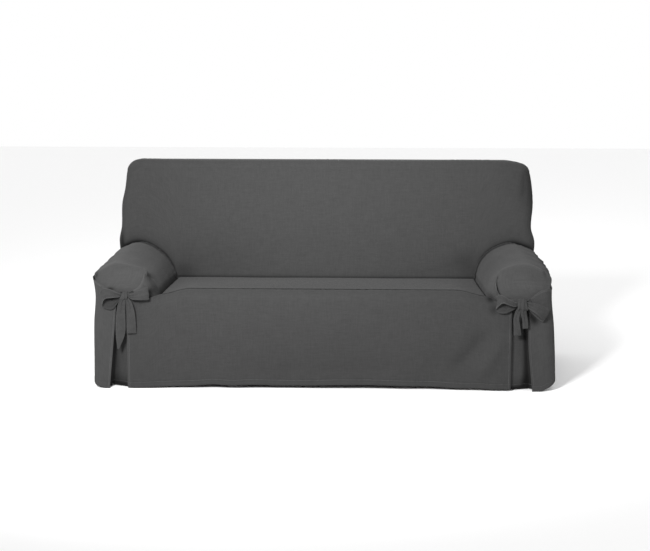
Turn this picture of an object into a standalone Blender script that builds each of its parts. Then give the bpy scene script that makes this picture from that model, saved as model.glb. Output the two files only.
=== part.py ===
# Slipcover for a three-seat sofa: ten cloth panels and four ties, hollow below.
# Metres. The front faces -Y, +X is to the right seen from the front, +Z is up.
# The origin is on the floor, under the middle of the cover.
# "Reach" is a distance from the middle plane, outwards, on either side.

import math
from collections import namedtuple

import bmesh
import bpy
from mathutils import Matrix, Vector

# ---- driving sizes ----
CLOTH = 0.002              # thickness of every panel
SEAM = 0.0006              # left between sewn edges
WELD = 0.00001             # grids that share a row are joined at this distance
FRONT_Y = -0.445           # outer face of the front skirt
REAR_Y = 0.475             # outer face of the outer back
TOP_Z = 1.005              # highest line of the back
SEAM_Y = -0.395            # front edge of the seat, where the skirt is sewn on
SEAM_Z = 0.457
CREASE_Y = 0.20            # where seat and back meet
CREASE_Z = 0.428
TUCK_Z = 0.374             # lower edge of the cloth tucked into the creases
BACK_RAKE = 0.27           # how far the back leans, per metre of height
BACK_ROUND = 0.052         # roll over the top and the sides of the back
BACK_CROWN = 0.016         # how far the stuffed back swells in its middle
ROLL_SHARE = 0.45          # share of a wrapped strip that is the roll itself
SEAT_HALF = 0.744          # half the width of the seat panel
SEAT_ROUND = 0.018         # roll of the seat into its creases
SEAT_CROWN = 0.006
CORNER_ROUND = 0.045       # plan radius of the arms' front corners
SKIRT_ROLL = 0.050         # height of the rounded band under the front seam
FLAP_Y = -0.430            # outer face of the flap over the arm's front
COLLAR_Y = -0.4375         # outer face of the inner arm panel's front part
COLLAR_LIFT = 0.0045       # the raised free edge above the flap
PLEAT_Y = -0.427           # middle of the pleat underlay
PLEAT_EDGE_Y = -0.4422     # its two edges, just behind the panels
PLEAT_TOP_Y = -0.4385      # the same behind the bow
RIBBON = 0.0024            # thickness of a tie
SHOULDER_Z = 0.552         # height of the side seams behind the arms
NOTCH_GAP = 0.0014         # between the arm panel's end and the inside back
NOTCH_UNDERLAP = 0.004     # how far the inside back reaches down behind the arm
REAR_HEM = 0.006           # hem of the outer back above the floor
REAR_SLACK = 0.004         # how far the outer back sags inwards between its seams
SLACK_PITCH = 7.0          # radians of that sag per metre of width
SEAT_BACK_GAP = 0.006      # between the seat's rear edge and the back's face
SEAM_DROP = 0.030          # the front seam's fall at the seat's two corners
SEAM_DROP_FROM = 0.60      # reach where that fall starts
SEAM_DROP_OVER = 0.155     # and the width it takes
TURN_SHARE = 0.38          # share of the outer panel's front run that rounds the corner
STRAIGHT_FROM = 0.05       # depth where the outer panel starts to meet the back's width
STRAIGHT_OVER = 0.35
SKIRT_ROLL_SHARE = 0.24    # share of the skirt's fall that is the rounded band
SKIRT_BEND = 0.735         # reach where the skirt's top edge leaves the seam
SKIRT_BEND_OUT = 0.055     # width over which it comes forward
SKIRT_BEND_DOWN = 0.085    # width over which it drops
SKIRT_HEM = 0.018          # hem of the skirt above the floor, in the middle
SKIRT_TILT = 0.004         # how much lower it hangs on the right, per metre
SKIRT_HEM_LEFT = 0.004     # the same at its two ends
SKIRT_HEM_RIGHT = 0.008
FOLD_FADE = 0.10           # folds die out this near the skirt's free edges
FOLD_START = 0.25          # and over this height under the seam
PLEAT_HEM = 0.018
PLEAT_LAP = 0.016          # how far the pleat reaches behind its neighbours
PLEAT_BOW_Z = 0.33         # height above which its edges lie deeper

# ---- where the rows and columns of the grids lie ----
ARM_SHARES = [0.0, 0.03, 0.06, 0.09, 0.125, 0.17, 0.24, 0.32, 0.40, 0.48, 0.56, 0.64, 0.72, 0.78, 0.84,
              0.92, 1.0]
ARM_RUNS = 7
TURN_STEPS = 5
FLAP_STEPS = 4
NOTCH_ANGLES = (75, 60, 45, 30, 15)
NOTCH_REACHES = (0.965, 0.93, 0.89, 0.85, 0.815, 0.79, 0.772, 0.758)
BACK_WRAPS = (1.0, 0.82, 0.64, ROLL_SHARE)
BACK_REACHES = (0.735, 0.66, 0.56, 0.44, 0.30, 0.15)
BACK_RISES = (0.0, 0.06, 0.13, 0.22, 0.34, 0.48, 0.64, 0.82, 1.0)
BACK_OVERS = (0.11, 0.22, 0.34, ROLL_SHARE, 0.72, 1.0)
SEAT_WRAPS = (1.0, 0.72, ROLL_SHARE, 0.30, 0.15)
SEAT_SHARES = (1.0, 0.93, 0.84, 0.70, 0.52, 0.34, 0.17)
SKIRT_REACHES = (0.85, 0.81, 0.785, 0.765, 0.748, 0.73, 0.69)
SKIRT_MIDDLE = 0.62
RIBBON_STEPS = 2
RIBBON_SHARES = (-0.5, -0.18, 0.18, 0.5)

# ---- a table row each, by height, depth or share along a line ----
Width = namedtuple("Width", "height left right")
BACK_SIDES = [
    Width(0.545, 1.0470, 1.0440),
    Width(0.605, 1.0450, 1.0400),
    Width(0.670, 1.0350, 1.0240),
    Width(0.780, 1.0370, 1.0310),
    Width(0.860, 1.0240, 1.0300),
    Width(0.940, 1.0160, 1.0200),
    Width(1.005, 1.0100, 1.0120),
]
FRONT_SIDES = [
    Width(0.000, 1.0490, 1.0500),
    Width(0.100, 1.0480, 1.0490),
    Width(0.300, 1.0460, 1.0420),
    Width(0.420, 1.0370, 1.0330),
    Width(0.500, 1.0450, 1.0370),
    Width(0.550, 1.0500, 1.0440),
]
Shoulder = namedtuple("Shoulder", "depth left right")
SHOULDERS = [
    Shoulder(-0.400, 0.520, 0.478),
    Shoulder(-0.340, 0.530, 0.500),
    Shoulder(-0.250, 0.533, 0.524),
    Shoulder(-0.100, 0.535, 0.538),
    Shoulder(0.100, 0.544, 0.546),
    Shoulder(0.280, 0.552, 0.553),
    Shoulder(0.475, 0.552, 0.553),
]
# The arm's outline from its outer seam over the crown to the tuck beside the seat.
# by_seam and by_crown say how far a point follows the seam's and the crown's fall.
Section = namedtuple("Section", "share left_reach left_z right_reach right_z by_seam by_crown")
ARM_SECTION = [
    Section(0.00, 1.050, 0.552, 1.044, 0.553, 1.0, 0.0),
    Section(0.07, 1.047, 0.574, 1.041, 0.575, 0.6, 0.4),
    Section(0.15, 1.026, 0.591, 1.020, 0.590, 0.2, 0.8),
    Section(0.32, 0.960, 0.598, 0.945, 0.600, 0.0, 1.0),
    Section(0.46, 0.887, 0.579, 0.886, 0.588, 0.0, 0.9),
    Section(0.60, 0.812, 0.526, 0.820, 0.558, 0.0, 0.6),
    Section(0.72, 0.769, 0.463, 0.772, 0.506, 0.0, 0.3),
    Section(0.84, 0.756, 0.420, 0.750, 0.440, 0.0, 0.0),
    Section(1.00, 0.752, 0.374, 0.748, 0.374, 0.0, 0.0),
]
CROWN_FALL = 0.030         # fall of the arm's crown from the back to the front
FLAP_OUTER = 0.992         # reach of the flap's outer end at its hem
FLAP_TAPER = 0.25          # share of the way there where the flap has turned down
FLAP_TUCK = 0.20           # how much sooner its inner edge gets there
FLAP_BEND = 0.024          # how far the flap's inner edge turns back under the collar
FLAP_EDGE_POWER = 6        # how closely bend and tuck keep to that edge
FLAP_DIP = 0.004
TIP_FALL = 0.50            # how far down the flap the slit beside it begins
# Free edge of the inner arm panel, from the slit's end round to the knot.
Edge = namedtuple("Edge", "share left_reach left_z right_reach right_z")
INNER_EDGE = [
    Edge(0.00, 0.834, 0.544, 0.806, 0.538),
    Edge(0.18, 0.808, 0.536, 0.791, 0.516),
    Edge(0.36, 0.798, 0.513, 0.785, 0.490),
    Edge(0.60, 0.812, 0.480, 0.786, 0.462),
    Edge(0.80, 0.834, 0.460, 0.806, 0.434),
    Edge(1.00, 0.868, 0.446, 0.868, 0.416),
]
# Top edge of the outer arm panel from the seam's front end round to the knot.
Rim = namedtuple("Rim", "share left right")
OUTER_EDGE = [
    Rim(0.00, 0.518, 0.476),
    Rim(0.18, 0.500, 0.474),
    Rim(0.38, 0.476, 0.468),
    Rim(0.60, 0.452, 0.452),
    Rim(0.80, 0.444, 0.432),
    Rim(1.00, 0.440, 0.414),
]
# Front edge of the outer arm panel, from the floor up to the knot.
FREE_EDGES = [
    Width(0.000, 0.971, 0.951),
    Width(0.100, 0.961, 0.940),
    Width(0.200, 0.951, 0.930),
    Width(0.300, 0.941, 0.927),
    Width(0.390, 0.932, 0.922),
    Width(0.440, 0.915, 0.915),
]
# Soft upright folds of the skirt: where, how deep and how wide.
Fold = namedtuple("Fold", "x lean depth width")
SKIRT_FOLDS = [
    Fold(-0.60, 0.10, 0.005, 0.10),
    Fold(-0.15, -0.06, 0.004, 0.14),
    Fold(0.22, 0.05, 0.005, 0.12),
    Fold(0.56, 0.45, 0.009, 0.09),
    Fold(0.70, 0.20, 0.004, 0.06),
]

Arm = namedtuple("Arm", "name sign slit round_y flap_hem flap_inner knot_reach knot_z knot_size "
                        "skirt_edge skirt_z")
LEFT = Arm("left", -1, 0.48, -0.345, 0.454, 0.785, 0.892, 0.430, 1.0, 0.888, 0.411)
RIGHT = Arm("right", 1, 0.56, -0.300, 0.431, 0.774, 0.895, 0.402, 1.15, 0.853, 0.398)

Finish = namedtuple("Finish", "red green blue roughness")
CLOTH_FINISH = Finish(0.088, 0.089, 0.092, 0.92)


# ---- small helpers ----
def ease(value):
    value = min(max(value, 0.0), 1.0)
    return value * value * (3.0 - 2.0 * value)


def blend(first, second, share):
    return first + (second - first) * share


def smooth(rows, column, at):
    """Value of a table column on a smooth curve through its rows."""
    keys = [row[0] for row in rows]
    values = [getattr(row, column) for row in rows]
    at = min(max(at, keys[0]), keys[-1])
    last = len(keys) - 1
    low = max(index for index in range(last) if keys[index] <= at)
    slopes = []
    for index in (low, low + 1):
        before = max(index - 1, 0)
        after = min(index + 1, last)
        slopes.append((values[after] - values[before]) / (keys[after] - keys[before]))
    step = keys[low + 1] - keys[low]
    part = (at - keys[low]) / step
    square = part * part
    cube = square * part
    return ((2 * cube - 3 * square + 1) * values[low]
            + (cube - 2 * square + part) * step * slopes[0]
            + (3 * square - 2 * cube) * values[low + 1]
            + (cube - square) * step * slopes[1])


def curve_point(start, corner, end, share):
    """Point of a curve that leaves start for corner and comes from it to end."""
    back = 1.0 - share
    return start * (back * back) + corner * (2.0 * back * share) + end * (share * share)


def steps(first, last, count):
    return [blend(first, last, index / count) for index in range(count + 1)]


def cloth_material(name):
    material = bpy.data.materials.new(name)
    material.use_nodes = True
    shader = material.node_tree.nodes["Principled BSDF"]
    shader.inputs["Base Color"].default_value = (*CLOTH_FINISH[:3], 1.0)
    shader.inputs["Roughness"].default_value = CLOTH_FINISH.roughness
    shader.inputs["Metallic"].default_value = 0.0
    return material


def add_grid(mesh, points):
    """Faces over rows of points; the points of a row run along the first index."""
    verts = [[mesh.verts.new(point) for point in row] for row in points]
    for lower, upper in zip(verts, verts[1:]):
        for index in range(len(lower) - 1):
            mesh.faces.new((lower[index], lower[index + 1], upper[index + 1], upper[index]))


def new_object(name, mesh):
    data = bpy.data.meshes.new(name)
    mesh.to_mesh(data)
    mesh.free()
    body = bpy.data.objects.new(name, data)
    bpy.context.collection.objects.link(body)
    return body


def cloth_sheet(name, grids, thickness=CLOTH, offset=-1.0):
    """A closed sheet from grids of points, thickened away from their front side."""
    mesh = bmesh.new()
    for points in grids:
        add_grid(mesh, points)
    bmesh.ops.remove_doubles(mesh, verts=mesh.verts, dist=WELD)
    for face in mesh.faces:
        face.smooth = True
    body = new_object(name, mesh)
    wall = body.modifiers.new("cloth thickness", "SOLIDIFY")
    wall.thickness = thickness
    wall.offset = offset
    wall.use_even_offset = True
    body.data.materials.append(cloth_material(name))
    return body


# ---- the back ----
def back_half(side, height):
    return smooth(BACK_SIDES, side, height)


def face_y(height):
    """Depth of the back's front face, without its swell."""
    return CREASE_Y + BACK_RAKE * max(height - CREASE_Z, 0.0)


def rolled(share, radius, depth):
    """Sideways and rearward travel of a strip that rolls over an edge."""
    if share < ROLL_SHARE:
        angle = share / ROLL_SHARE * math.pi / 2.0
        return radius * math.sin(angle), radius * (1.0 - math.cos(angle))
    straight = (share - ROLL_SHARE) / (1.0 - ROLL_SHARE)
    return radius, blend(radius, depth, straight)


def face_swell(side, reach, height):
    """How far the stuffed back stands forward of its flat face."""
    share = min(reach / (back_half(side, height) - BACK_ROUND), 1.0)
    rise = min(max((height - CREASE_Z) / 0.6, 0.0), 1.0)
    return BACK_CROWN * (1.0 - share * share) * math.sin(math.pi * rise)


def back_point(side, reach_share, wrap, bottom, rise, over):
    """A point of the inside back.

    reach_share is across the flat face, wrap round its side, rise between the
    bottom edge and the start of the top roll, over beyond it.
    """
    sign = -1 if side == "left" else 1
    core_top = TOP_Z - BACK_ROUND
    height = blend(bottom, core_top, rise)
    reach = reach_share * (back_half(side, height) - BACK_ROUND)
    y = face_y(height) - face_swell(side, reach, height)
    depth = REAR_Y - CLOTH - SEAM - y
    sideways, rearward = rolled(max(wrap, over), BACK_ROUND, depth)
    length = math.hypot(wrap, over)
    if length > 0.0:
        reach += sideways * wrap / length
        height += sideways * over / length
    return Vector((sign * reach, y + rearward, height))


def notch_columns(arm):
    """Columns of the inside back that end behind the arm, outermost first."""
    core = back_half(arm.name, SHOULDER_Z) - BACK_ROUND
    columns = []
    for angle in NOTCH_ANGLES:
        reach = core + BACK_ROUND * math.sin(math.radians(angle))
        bottom = arm_height_at(arm, reach) - NOTCH_UNDERLAP
        columns.append((1.0, angle / 90.0 * ROLL_SHARE, bottom))
    for reach in (core, *NOTCH_REACHES):
        bottom = max(arm_height_at(arm, reach) - NOTCH_UNDERLAP, TUCK_Z)
        columns.append((reach / core, 0.0, bottom))
    return columns


def inside_back():
    columns = []
    for arm in (LEFT, RIGHT):
        side_columns = []
        for wrap in BACK_WRAPS:
            seam_y = blend(face_y(SHOULDER_Z), REAR_Y, wrap)
            side_columns.append((1.0, wrap, smooth(SHOULDERS, arm.name, seam_y) + SEAM))
        side_columns += notch_columns(arm)
        half = back_half(arm.name, CREASE_Z) - BACK_ROUND
        for reach in BACK_REACHES:
            side_columns.append((reach / half, 0.0, TUCK_Z))
        columns.append([(arm.name, *column) for column in side_columns])
    middle = [("left", 0.0, 0.0, TUCK_Z)]
    ordered = columns[0] + middle + columns[1][::-1]
    levels = [(rise, 0.0) for rise in BACK_RISES]
    levels += [(1.0, over) for over in BACK_OVERS]
    points = []
    for rise, over in levels:
        row = [back_point(side, share, wrap, bottom, rise, over)
               for side, share, wrap, bottom in ordered]
        points.append(row)
    return cloth_sheet("inside_back", [points])


def outline_half(side, height):
    """Half width of the outer back at a height, its top corners rounded."""
    if height < SHOULDER_Z:
        return smooth(FRONT_SIDES, side, SHOULDER_Z * 0.2)
    half = back_half(side, height)
    above = height - (TOP_Z - BACK_ROUND)
    if above > 0.0:
        half -= BACK_ROUND - math.sqrt(max(BACK_ROUND ** 2 - above ** 2, 0.0))
    return half


def rear_bow(x, height):
    """Slight slack of the outer back between its seams."""
    return REAR_SLACK * math.sin(math.pi * min(height / TOP_Z, 1.0)) * math.cos(x * SLACK_PITCH)


def outer_back():
    heights = steps(0.0, SHOULDER_Z, 4) + steps(SHOULDER_Z, TOP_Z - BACK_ROUND, 4)[1:]
    corner = steps(0.0, math.pi / 2.0, 5)[1:]
    heights += [TOP_Z - BACK_ROUND + BACK_ROUND * math.sin(angle) for angle in corner]
    across = steps(-1.0, 1.0, 20)
    points = []
    for height in heights:
        row = []
        for share in across:
            side = "left" if share < 0.0 else "right"
            x = share * outline_half(side, height)
            lift = REAR_HEM * (1.0 - min(height / SHOULDER_Z, 1.0))
            slack = rear_bow(x, height) * (1.0 - share ** 4)
            row.append(Vector((x, REAR_Y - abs(slack), height + lift)))
        points.append(row[::-1])
    return cloth_sheet("outer_back", [points])


# ---- the arms ----
def arm_section(arm, share, depth):
    """Reach and height of the arm's outline at a depth."""
    reach = smooth(ARM_SECTION, arm.name + "_reach", share)
    height = smooth(ARM_SECTION, arm.name + "_z", share)
    seam_fall = smooth(SHOULDERS, arm.name, CREASE_Y) - smooth(SHOULDERS, arm.name, depth)
    crown_fall = CROWN_FALL * ease((CREASE_Y - depth) / (CREASE_Y - FRONT_Y))
    height -= seam_fall * smooth(ARM_SECTION, "by_seam", share)
    height -= crown_fall * smooth(ARM_SECTION, "by_crown", share)
    return reach, height


def arm_height_at(arm, reach):
    """Height of the arm's outline against the back, at a reach."""
    low, high = 0.0, 1.0
    for _ in range(30):
        middle = (low + high) / 2.0
        if arm_section(arm, middle, CREASE_Y)[0] > reach:
            low = middle
        else:
            high = middle
    return arm_section(arm, low, CREASE_Y)[1]


def arm_rear_y(arm, reach, height):
    """Where the arm panel ends, just short of the inside back."""
    core = back_half(arm.name, height) - BACK_ROUND
    over = min(max(reach - CLOTH - core, 0.0) / BACK_ROUND, 1.0)
    roll = BACK_ROUND * (1.0 - math.sqrt(1.0 - over * over))
    gap = NOTCH_GAP * (1.0 + over)
    return face_y(height) - face_swell(arm.name, reach, height) + roll - gap


def arm_body(arm, share, run):
    """A point of the arm panel between the back and the front rounding."""
    reach, height = arm_section(arm, share, CREASE_Y)
    rear = arm_rear_y(arm, reach, height)
    depth = blend(rear, arm.round_y, run)
    reach, height = arm_section(arm, share, depth)
    return Vector((arm.sign * reach, depth, height))


def flap_curve(arm, share):
    """Start, corner and end of a line of the flap, from the arm's top to the hem."""
    start = arm_body(arm, share, 1.0)
    hem_reach = blend(FLAP_OUTER, arm.flap_inner, share / arm.slit)
    at_edge = (share / arm.slit) ** FLAP_EDGE_POWER
    end = Vector((arm.sign * hem_reach, FLAP_Y + FLAP_BEND * at_edge, arm.flap_hem))
    taper = FLAP_TAPER + FLAP_TUCK * at_edge
    corner = Vector((blend(start.x, end.x, taper), FLAP_Y, start.z - FLAP_DIP))
    return start, corner, end


def flap_point(arm, share, fall):
    """A point of the hemmed flap over the arm's front."""
    return curve_point(*flap_curve(arm, share), fall)


def collar_point(arm, share, turn):
    """A point of the inner arm panel where it turns to the front.

    Beside the slit it runs with the flap; its end is the free edge to the knot.
    """
    along = (share - arm.slit) / (1.0 - arm.slit)
    slit_start, slit_corner, _ = flap_curve(arm, arm.slit)
    tip = flap_point(arm, arm.slit, TIP_FALL)
    start = arm_body(arm, share, 1.0)
    reach = smooth(INNER_EDGE, arm.name + "_reach", along)
    height = smooth(INNER_EDGE, arm.name + "_z", along)
    lift = COLLAR_LIFT * ease(along / 0.15) * (1.0 - along)
    edge = Vector((arm.sign * reach, COLLAR_Y - lift, height))
    end = tip.lerp(edge, ease(along / 0.25))
    beside = start + (slit_corner - slit_start) * TIP_FALL
    around = Vector((blend(start.x, edge.x, 0.12), edge.y, blend(start.z, edge.z, 0.6)))
    corner = beside.lerp(around, ease(along / 0.35))
    return curve_point(start, corner, end, turn)


def arm_top(arm):
    """Inner arm, arm top and flap, one panel with a slit."""
    slit = ARM_SHARES.index(arm.slit)
    turns = steps(0.0, 1.0, TURN_STEPS)
    falls = [turn * TIP_FALL for turn in turns] + steps(TIP_FALL, 1.0, FLAP_STEPS)[1:]
    runs = steps(0.0, 1.0, ARM_RUNS)
    body_rows = [[arm_body(arm, share, run) for share in ARM_SHARES] for run in runs]
    flap_rows = [[flap_point(arm, share, fall) for share in ARM_SHARES[:slit + 1]] for fall in falls]
    collar_rows = [[collar_point(arm, share, turn) for share in ARM_SHARES[slit:]] for turn in turns]
    grids = [body_rows, flap_rows, collar_rows]
    if arm.sign > 0:
        grids = [[row[::-1] for row in rows] for rows in grids]
    return cloth_sheet("arm_top_" + arm.name, grids)


def side_reach(arm, height, depth):
    """Reach of the outer arm panel, straighter towards the back."""
    front = smooth(FRONT_SIDES, arm.name, height)
    rear = outline_half(arm.name, min(height, SHOULDER_Z - 0.001))
    return blend(front, rear, ease((depth - STRAIGHT_FROM) / STRAIGHT_OVER))


def outer_point(arm, run, drop):
    """A point of the outer arm panel; run 0 to 1 is the side, 1 to 2 the front."""
    corner_y = FRONT_Y + CORNER_ROUND
    front_run = max(run - 1.0, 0.0)
    if front_run > 0.0:
        top = smooth(OUTER_EDGE, arm.name, front_run)
        depth = corner_y
    else:
        depth = blend(REAR_Y - CLOTH - SEAM, corner_y, run)
        top = smooth(SHOULDERS, arm.name, depth) - SEAM
    height = blend(top, 0.0, drop)
    reach = side_reach(arm, height, depth)
    y = depth
    if front_run > 0.0:
        turn = min(front_run / TURN_SHARE, 1.0) * math.pi / 2.0
        across = max(front_run - TURN_SHARE, 0.0) / (1.0 - TURN_SHARE)
        y = corner_y - CORNER_ROUND * math.sin(turn)
        reach -= CORNER_ROUND * (1.0 - math.cos(turn))
        reach = blend(reach, smooth(FREE_EDGES, arm.name, height), across)
    return Vector((arm.sign * reach, y, height))


def arm_outer(arm):
    runs = steps(0.0, 1.0, 8) + [1.0 + share for share in steps(0.0, TURN_SHARE, 4)[1:]]
    runs += [1.0 + share for share in steps(TURN_SHARE, 1.0, 4)[1:]]
    points = [[outer_point(arm, run, drop) for run in runs] for drop in steps(0.0, 1.0, 9)]
    if arm.sign < 0:
        points = [row[::-1] for row in points]
    return cloth_sheet("arm_outer_" + arm.name, [points])


# ---- seat, skirt and pleats ----
def seam_height(x):
    """Height of the front seam, which drops at the seat's corners."""
    return SEAM_Z - SEAM_DROP * ease((abs(x) - SEAM_DROP_FROM) / SEAM_DROP_OVER)


def seat_point(side, across, wrap, along, over):
    """A point of the seat panel; wrap and over run down into the creases."""
    y = blend(SEAM_Y + SEAM, CREASE_Y - SEAT_BACK_GAP - SEAT_ROUND, along)
    reach = across * (SEAT_HALF - SEAT_ROUND)
    rise = blend(seam_height(reach), CREASE_Z, along)
    rise += SEAT_CROWN * math.sin(math.pi * along) * (1.0 - across ** 2)
    most = max(wrap, over)
    sideways, down = rolled(most, SEAT_ROUND, rise - TUCK_Z)
    length = math.hypot(wrap, over)
    if length > 0.0:
        reach += sideways * wrap / length
        y += sideways * over / length
    sign = -1 if side == "left" else 1
    return Vector((sign * reach, y, rise - down))


def seat_top():
    half = [(1.0, wrap) for wrap in SEAT_WRAPS] + [(across, 0.0) for across in SEAT_SHARES]
    left = [("left", *place) for place in half]
    right = [("right", *place) for place in half[::-1]]
    columns = left + [("left", 0.0, 0.0)] + right
    levels = [(along, 0.0) for along in steps(0.0, 1.0, 6)]
    levels += [(1.0, over) for over in SEAT_WRAPS[::-1]]
    points = [[seat_point(side, across, wrap, along, over) for side, across, wrap in columns]
              for along, over in levels]
    return cloth_sheet("seat_top", [points])


def skirt_top(x):
    """Depth and height of the skirt's upper edge."""
    arm = LEFT if x < 0.0 else RIGHT
    y = blend(SEAM_Y - SEAM, FRONT_Y + 0.003, ease((abs(x) - SKIRT_BEND) / SKIRT_BEND_OUT))
    return y, blend(seam_height(x), arm.skirt_z, ease((abs(x) - SKIRT_BEND) / SKIRT_BEND_DOWN))


def fold_depth(x, height):
    """How far the skirt's soft folds push it back or forward at a point."""
    depth = 0.0
    for fold in SKIRT_FOLDS:
        centre = fold.x + fold.lean * (height - 0.2)
        near = (x - centre) / fold.width
        depth += fold.depth * math.exp(-near * near)
    edge = LEFT.skirt_edge if x < 0.0 else RIGHT.skirt_edge
    return depth * ease((SEAM_Z - height) / FOLD_START) * ease((edge - abs(x)) / FOLD_FADE)


def skirt_hem(x):
    """Height of the hem above the floor, lower at both ends."""
    ends = ease((abs(x) - 0.45) / 0.4)
    low = SKIRT_HEM_LEFT if x < 0.0 else SKIRT_HEM_RIGHT
    return blend(SKIRT_HEM - SKIRT_TILT * x, low, ends)


def skirt_point(x, fall):
    top_y, top_z = skirt_top(x)
    roll = min(fall / SKIRT_ROLL_SHARE, 1.0) * math.pi / 2.0
    straight = max(fall - SKIRT_ROLL_SHARE, 0.0) / (1.0 - SKIRT_ROLL_SHARE)
    y = top_y - (top_y - FRONT_Y) * math.sin(roll)
    height = top_z - SKIRT_ROLL * (1.0 - math.cos(roll))
    height = blend(height, skirt_hem(x), straight)
    return Vector((x, y + fold_depth(x, height), height))


def front_skirt():
    left = [-LEFT.skirt_edge] + [-reach for reach in SKIRT_REACHES]
    right = [reach for reach in SKIRT_REACHES[:0:-1]] + [RIGHT.skirt_edge]
    across = left + steps(-SKIRT_MIDDLE, SKIRT_MIDDLE, 15) + right
    falls = steps(0.0, SKIRT_ROLL_SHARE, 4) + steps(SKIRT_ROLL_SHARE, 1.0, 6)[1:]
    points = [[skirt_point(x, fall) for x in across][::-1] for fall in falls]
    return cloth_sheet("front_skirt", [points])


def pleat(arm):
    """The strip behind the opening between skirt and outer arm panel."""
    points = []
    for height in steps(PLEAT_HEM, arm.knot_z, 7):
        outer = smooth(FREE_EDGES, arm.name, height) + PLEAT_LAP
        edge_y = blend(PLEAT_EDGE_Y, PLEAT_TOP_Y, ease((height - PLEAT_BOW_Z) / 0.04))
        inner = arm.skirt_edge - PLEAT_LAP
        row = []
        for share in steps(0.0, 1.0, 8):
            inset = ease(min(share, 1.0 - share) / 0.3)
            reach = blend(outer, inner, share)
            y = blend(edge_y, PLEAT_Y, inset)
            row.append(Vector((arm.sign * reach, y, height)))
        points.append(row)
    if arm.sign > 0:
        points = [row[::-1] for row in points]
    return cloth_sheet("pleat_" + arm.name, [points])


# ---- the bows ----
# Places in a bow: towards the sofa's middle, up, and forward of the knot's centre.
Path = namedtuple("Path", "inward up forward width")
KNOT_Y = FRONT_Y - 0.022
BAND_HALF = 0.016          # half the width of the knot's band
BAND_DEPTH = 0.0100        # half the depth inside the band
BAND_HEIGHT = 0.0155       # half the height inside the band
BAND_WALL = 0.003
CORE_GAP = 0.001           # half the space between the two gathered middles
# The parts of every tie that lie inside the knot, written for the inner tie.
LOOP_OUT = [Path(0.006, 0.002, 0.0035, 0.009), Path(0.018, 0.003, 0.0050, 0.011)]
LOOP_BACK = [Path(0.018, -0.002, -0.0035, 0.011), Path(0.006, -0.001, -0.0020, 0.009)]
TAIL_OUT = [Path(0.008, -0.006, 0.000, 0.007), Path(0.018, -0.008, 0.000, 0.008)]
LEAD_OUT = [Path(0.008, 0.007, -0.0025, 0.006), Path(0.018, 0.008, -0.0030, 0.006)]
LEADS = {
    "inner": [Path(0.026, 0.013, -0.0090, 0.010), Path(0.036, 0.014, -0.0140, 0.012)],
    "outer": [Path(0.027, 0.010, -0.0130, 0.010), Path(0.038, 0.012, -0.0185, 0.012)],
}
LOOPS = {
    "inner_left": [
        Path(0.038, 0.005, 0.010, 0.030), Path(0.068, 0.009, 0.012, 0.046),
        Path(0.096, 0.013, 0.009, 0.054), Path(0.107, 0.014, 0.002, 0.056),
        Path(0.096, 0.013, -0.006, 0.054), Path(0.064, 0.008, -0.009, 0.044),
        Path(0.036, 0.002, -0.007, 0.028),
    ],
    "outer_left": [
        Path(0.036, 0.003, 0.012, 0.028), Path(0.062, -0.005, 0.017, 0.042),
        Path(0.086, -0.018, 0.012, 0.050), Path(0.095, -0.024, 0.002, 0.050),
        Path(0.085, -0.028, -0.008, 0.046), Path(0.058, -0.024, -0.011, 0.038),
        Path(0.034, -0.011, -0.008, 0.024),
    ],
    "inner_right": [
        Path(0.038, 0.006, 0.014, 0.036), Path(0.066, 0.008, 0.019, 0.052),
        Path(0.092, 0.008, 0.014, 0.060), Path(0.102, 0.006, 0.002, 0.060),
        Path(0.092, 0.000, -0.007, 0.054), Path(0.062, -0.004, -0.010, 0.044),
        Path(0.036, -0.004, -0.008, 0.028),
    ],
    "outer_right": [
        Path(0.038, -0.010, 0.014, 0.040), Path(0.064, -0.030, 0.020, 0.056),
        Path(0.094, -0.056, 0.014, 0.056), Path(0.105, -0.066, 0.002, 0.054),
        Path(0.094, -0.062, -0.008, 0.050), Path(0.062, -0.040, -0.011, 0.042),
        Path(0.036, -0.018, -0.008, 0.028),
    ],
}
TAILS = {
    "inner_left": [
        Path(0.028, -0.027, -0.001, 0.014), Path(0.030, -0.060, -0.004, 0.030),
        Path(0.032, -0.110, -0.007, 0.040), Path(0.034, -0.176, -0.009, 0.044),
    ],
    "outer_left": [
        Path(0.026, -0.028, 0.002, 0.014), Path(0.021, -0.070, 0.003, 0.032),
        Path(0.021, -0.130, 0.001, 0.040), Path(0.025, -0.195, -0.001, 0.034),
        Path(0.027, -0.246, -0.003, 0.008),
    ],
    "inner_right": [
        Path(0.029, -0.030, 0.001, 0.014), Path(0.026, -0.058, 0.000, 0.026),
        Path(0.023, -0.095, -0.003, 0.031), Path(0.020, -0.142, -0.006, 0.030),
    ],
    "outer_right": [
        Path(0.027, -0.032, 0.003, 0.014), Path(0.021, -0.056, 0.003, 0.023),
        Path(0.018, -0.084, 0.000, 0.027), Path(0.016, -0.112, -0.003, 0.026),
    ],
}


def bow_place(arm, toward, row):
    """World place of a bow's table row; toward is 1 for the inner tie, -1 for the outer."""
    reach = arm.knot_reach - toward * row.inward
    return Vector((arm.sign * reach, KNOT_Y - row.forward, arm.knot_z + row.up))


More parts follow.
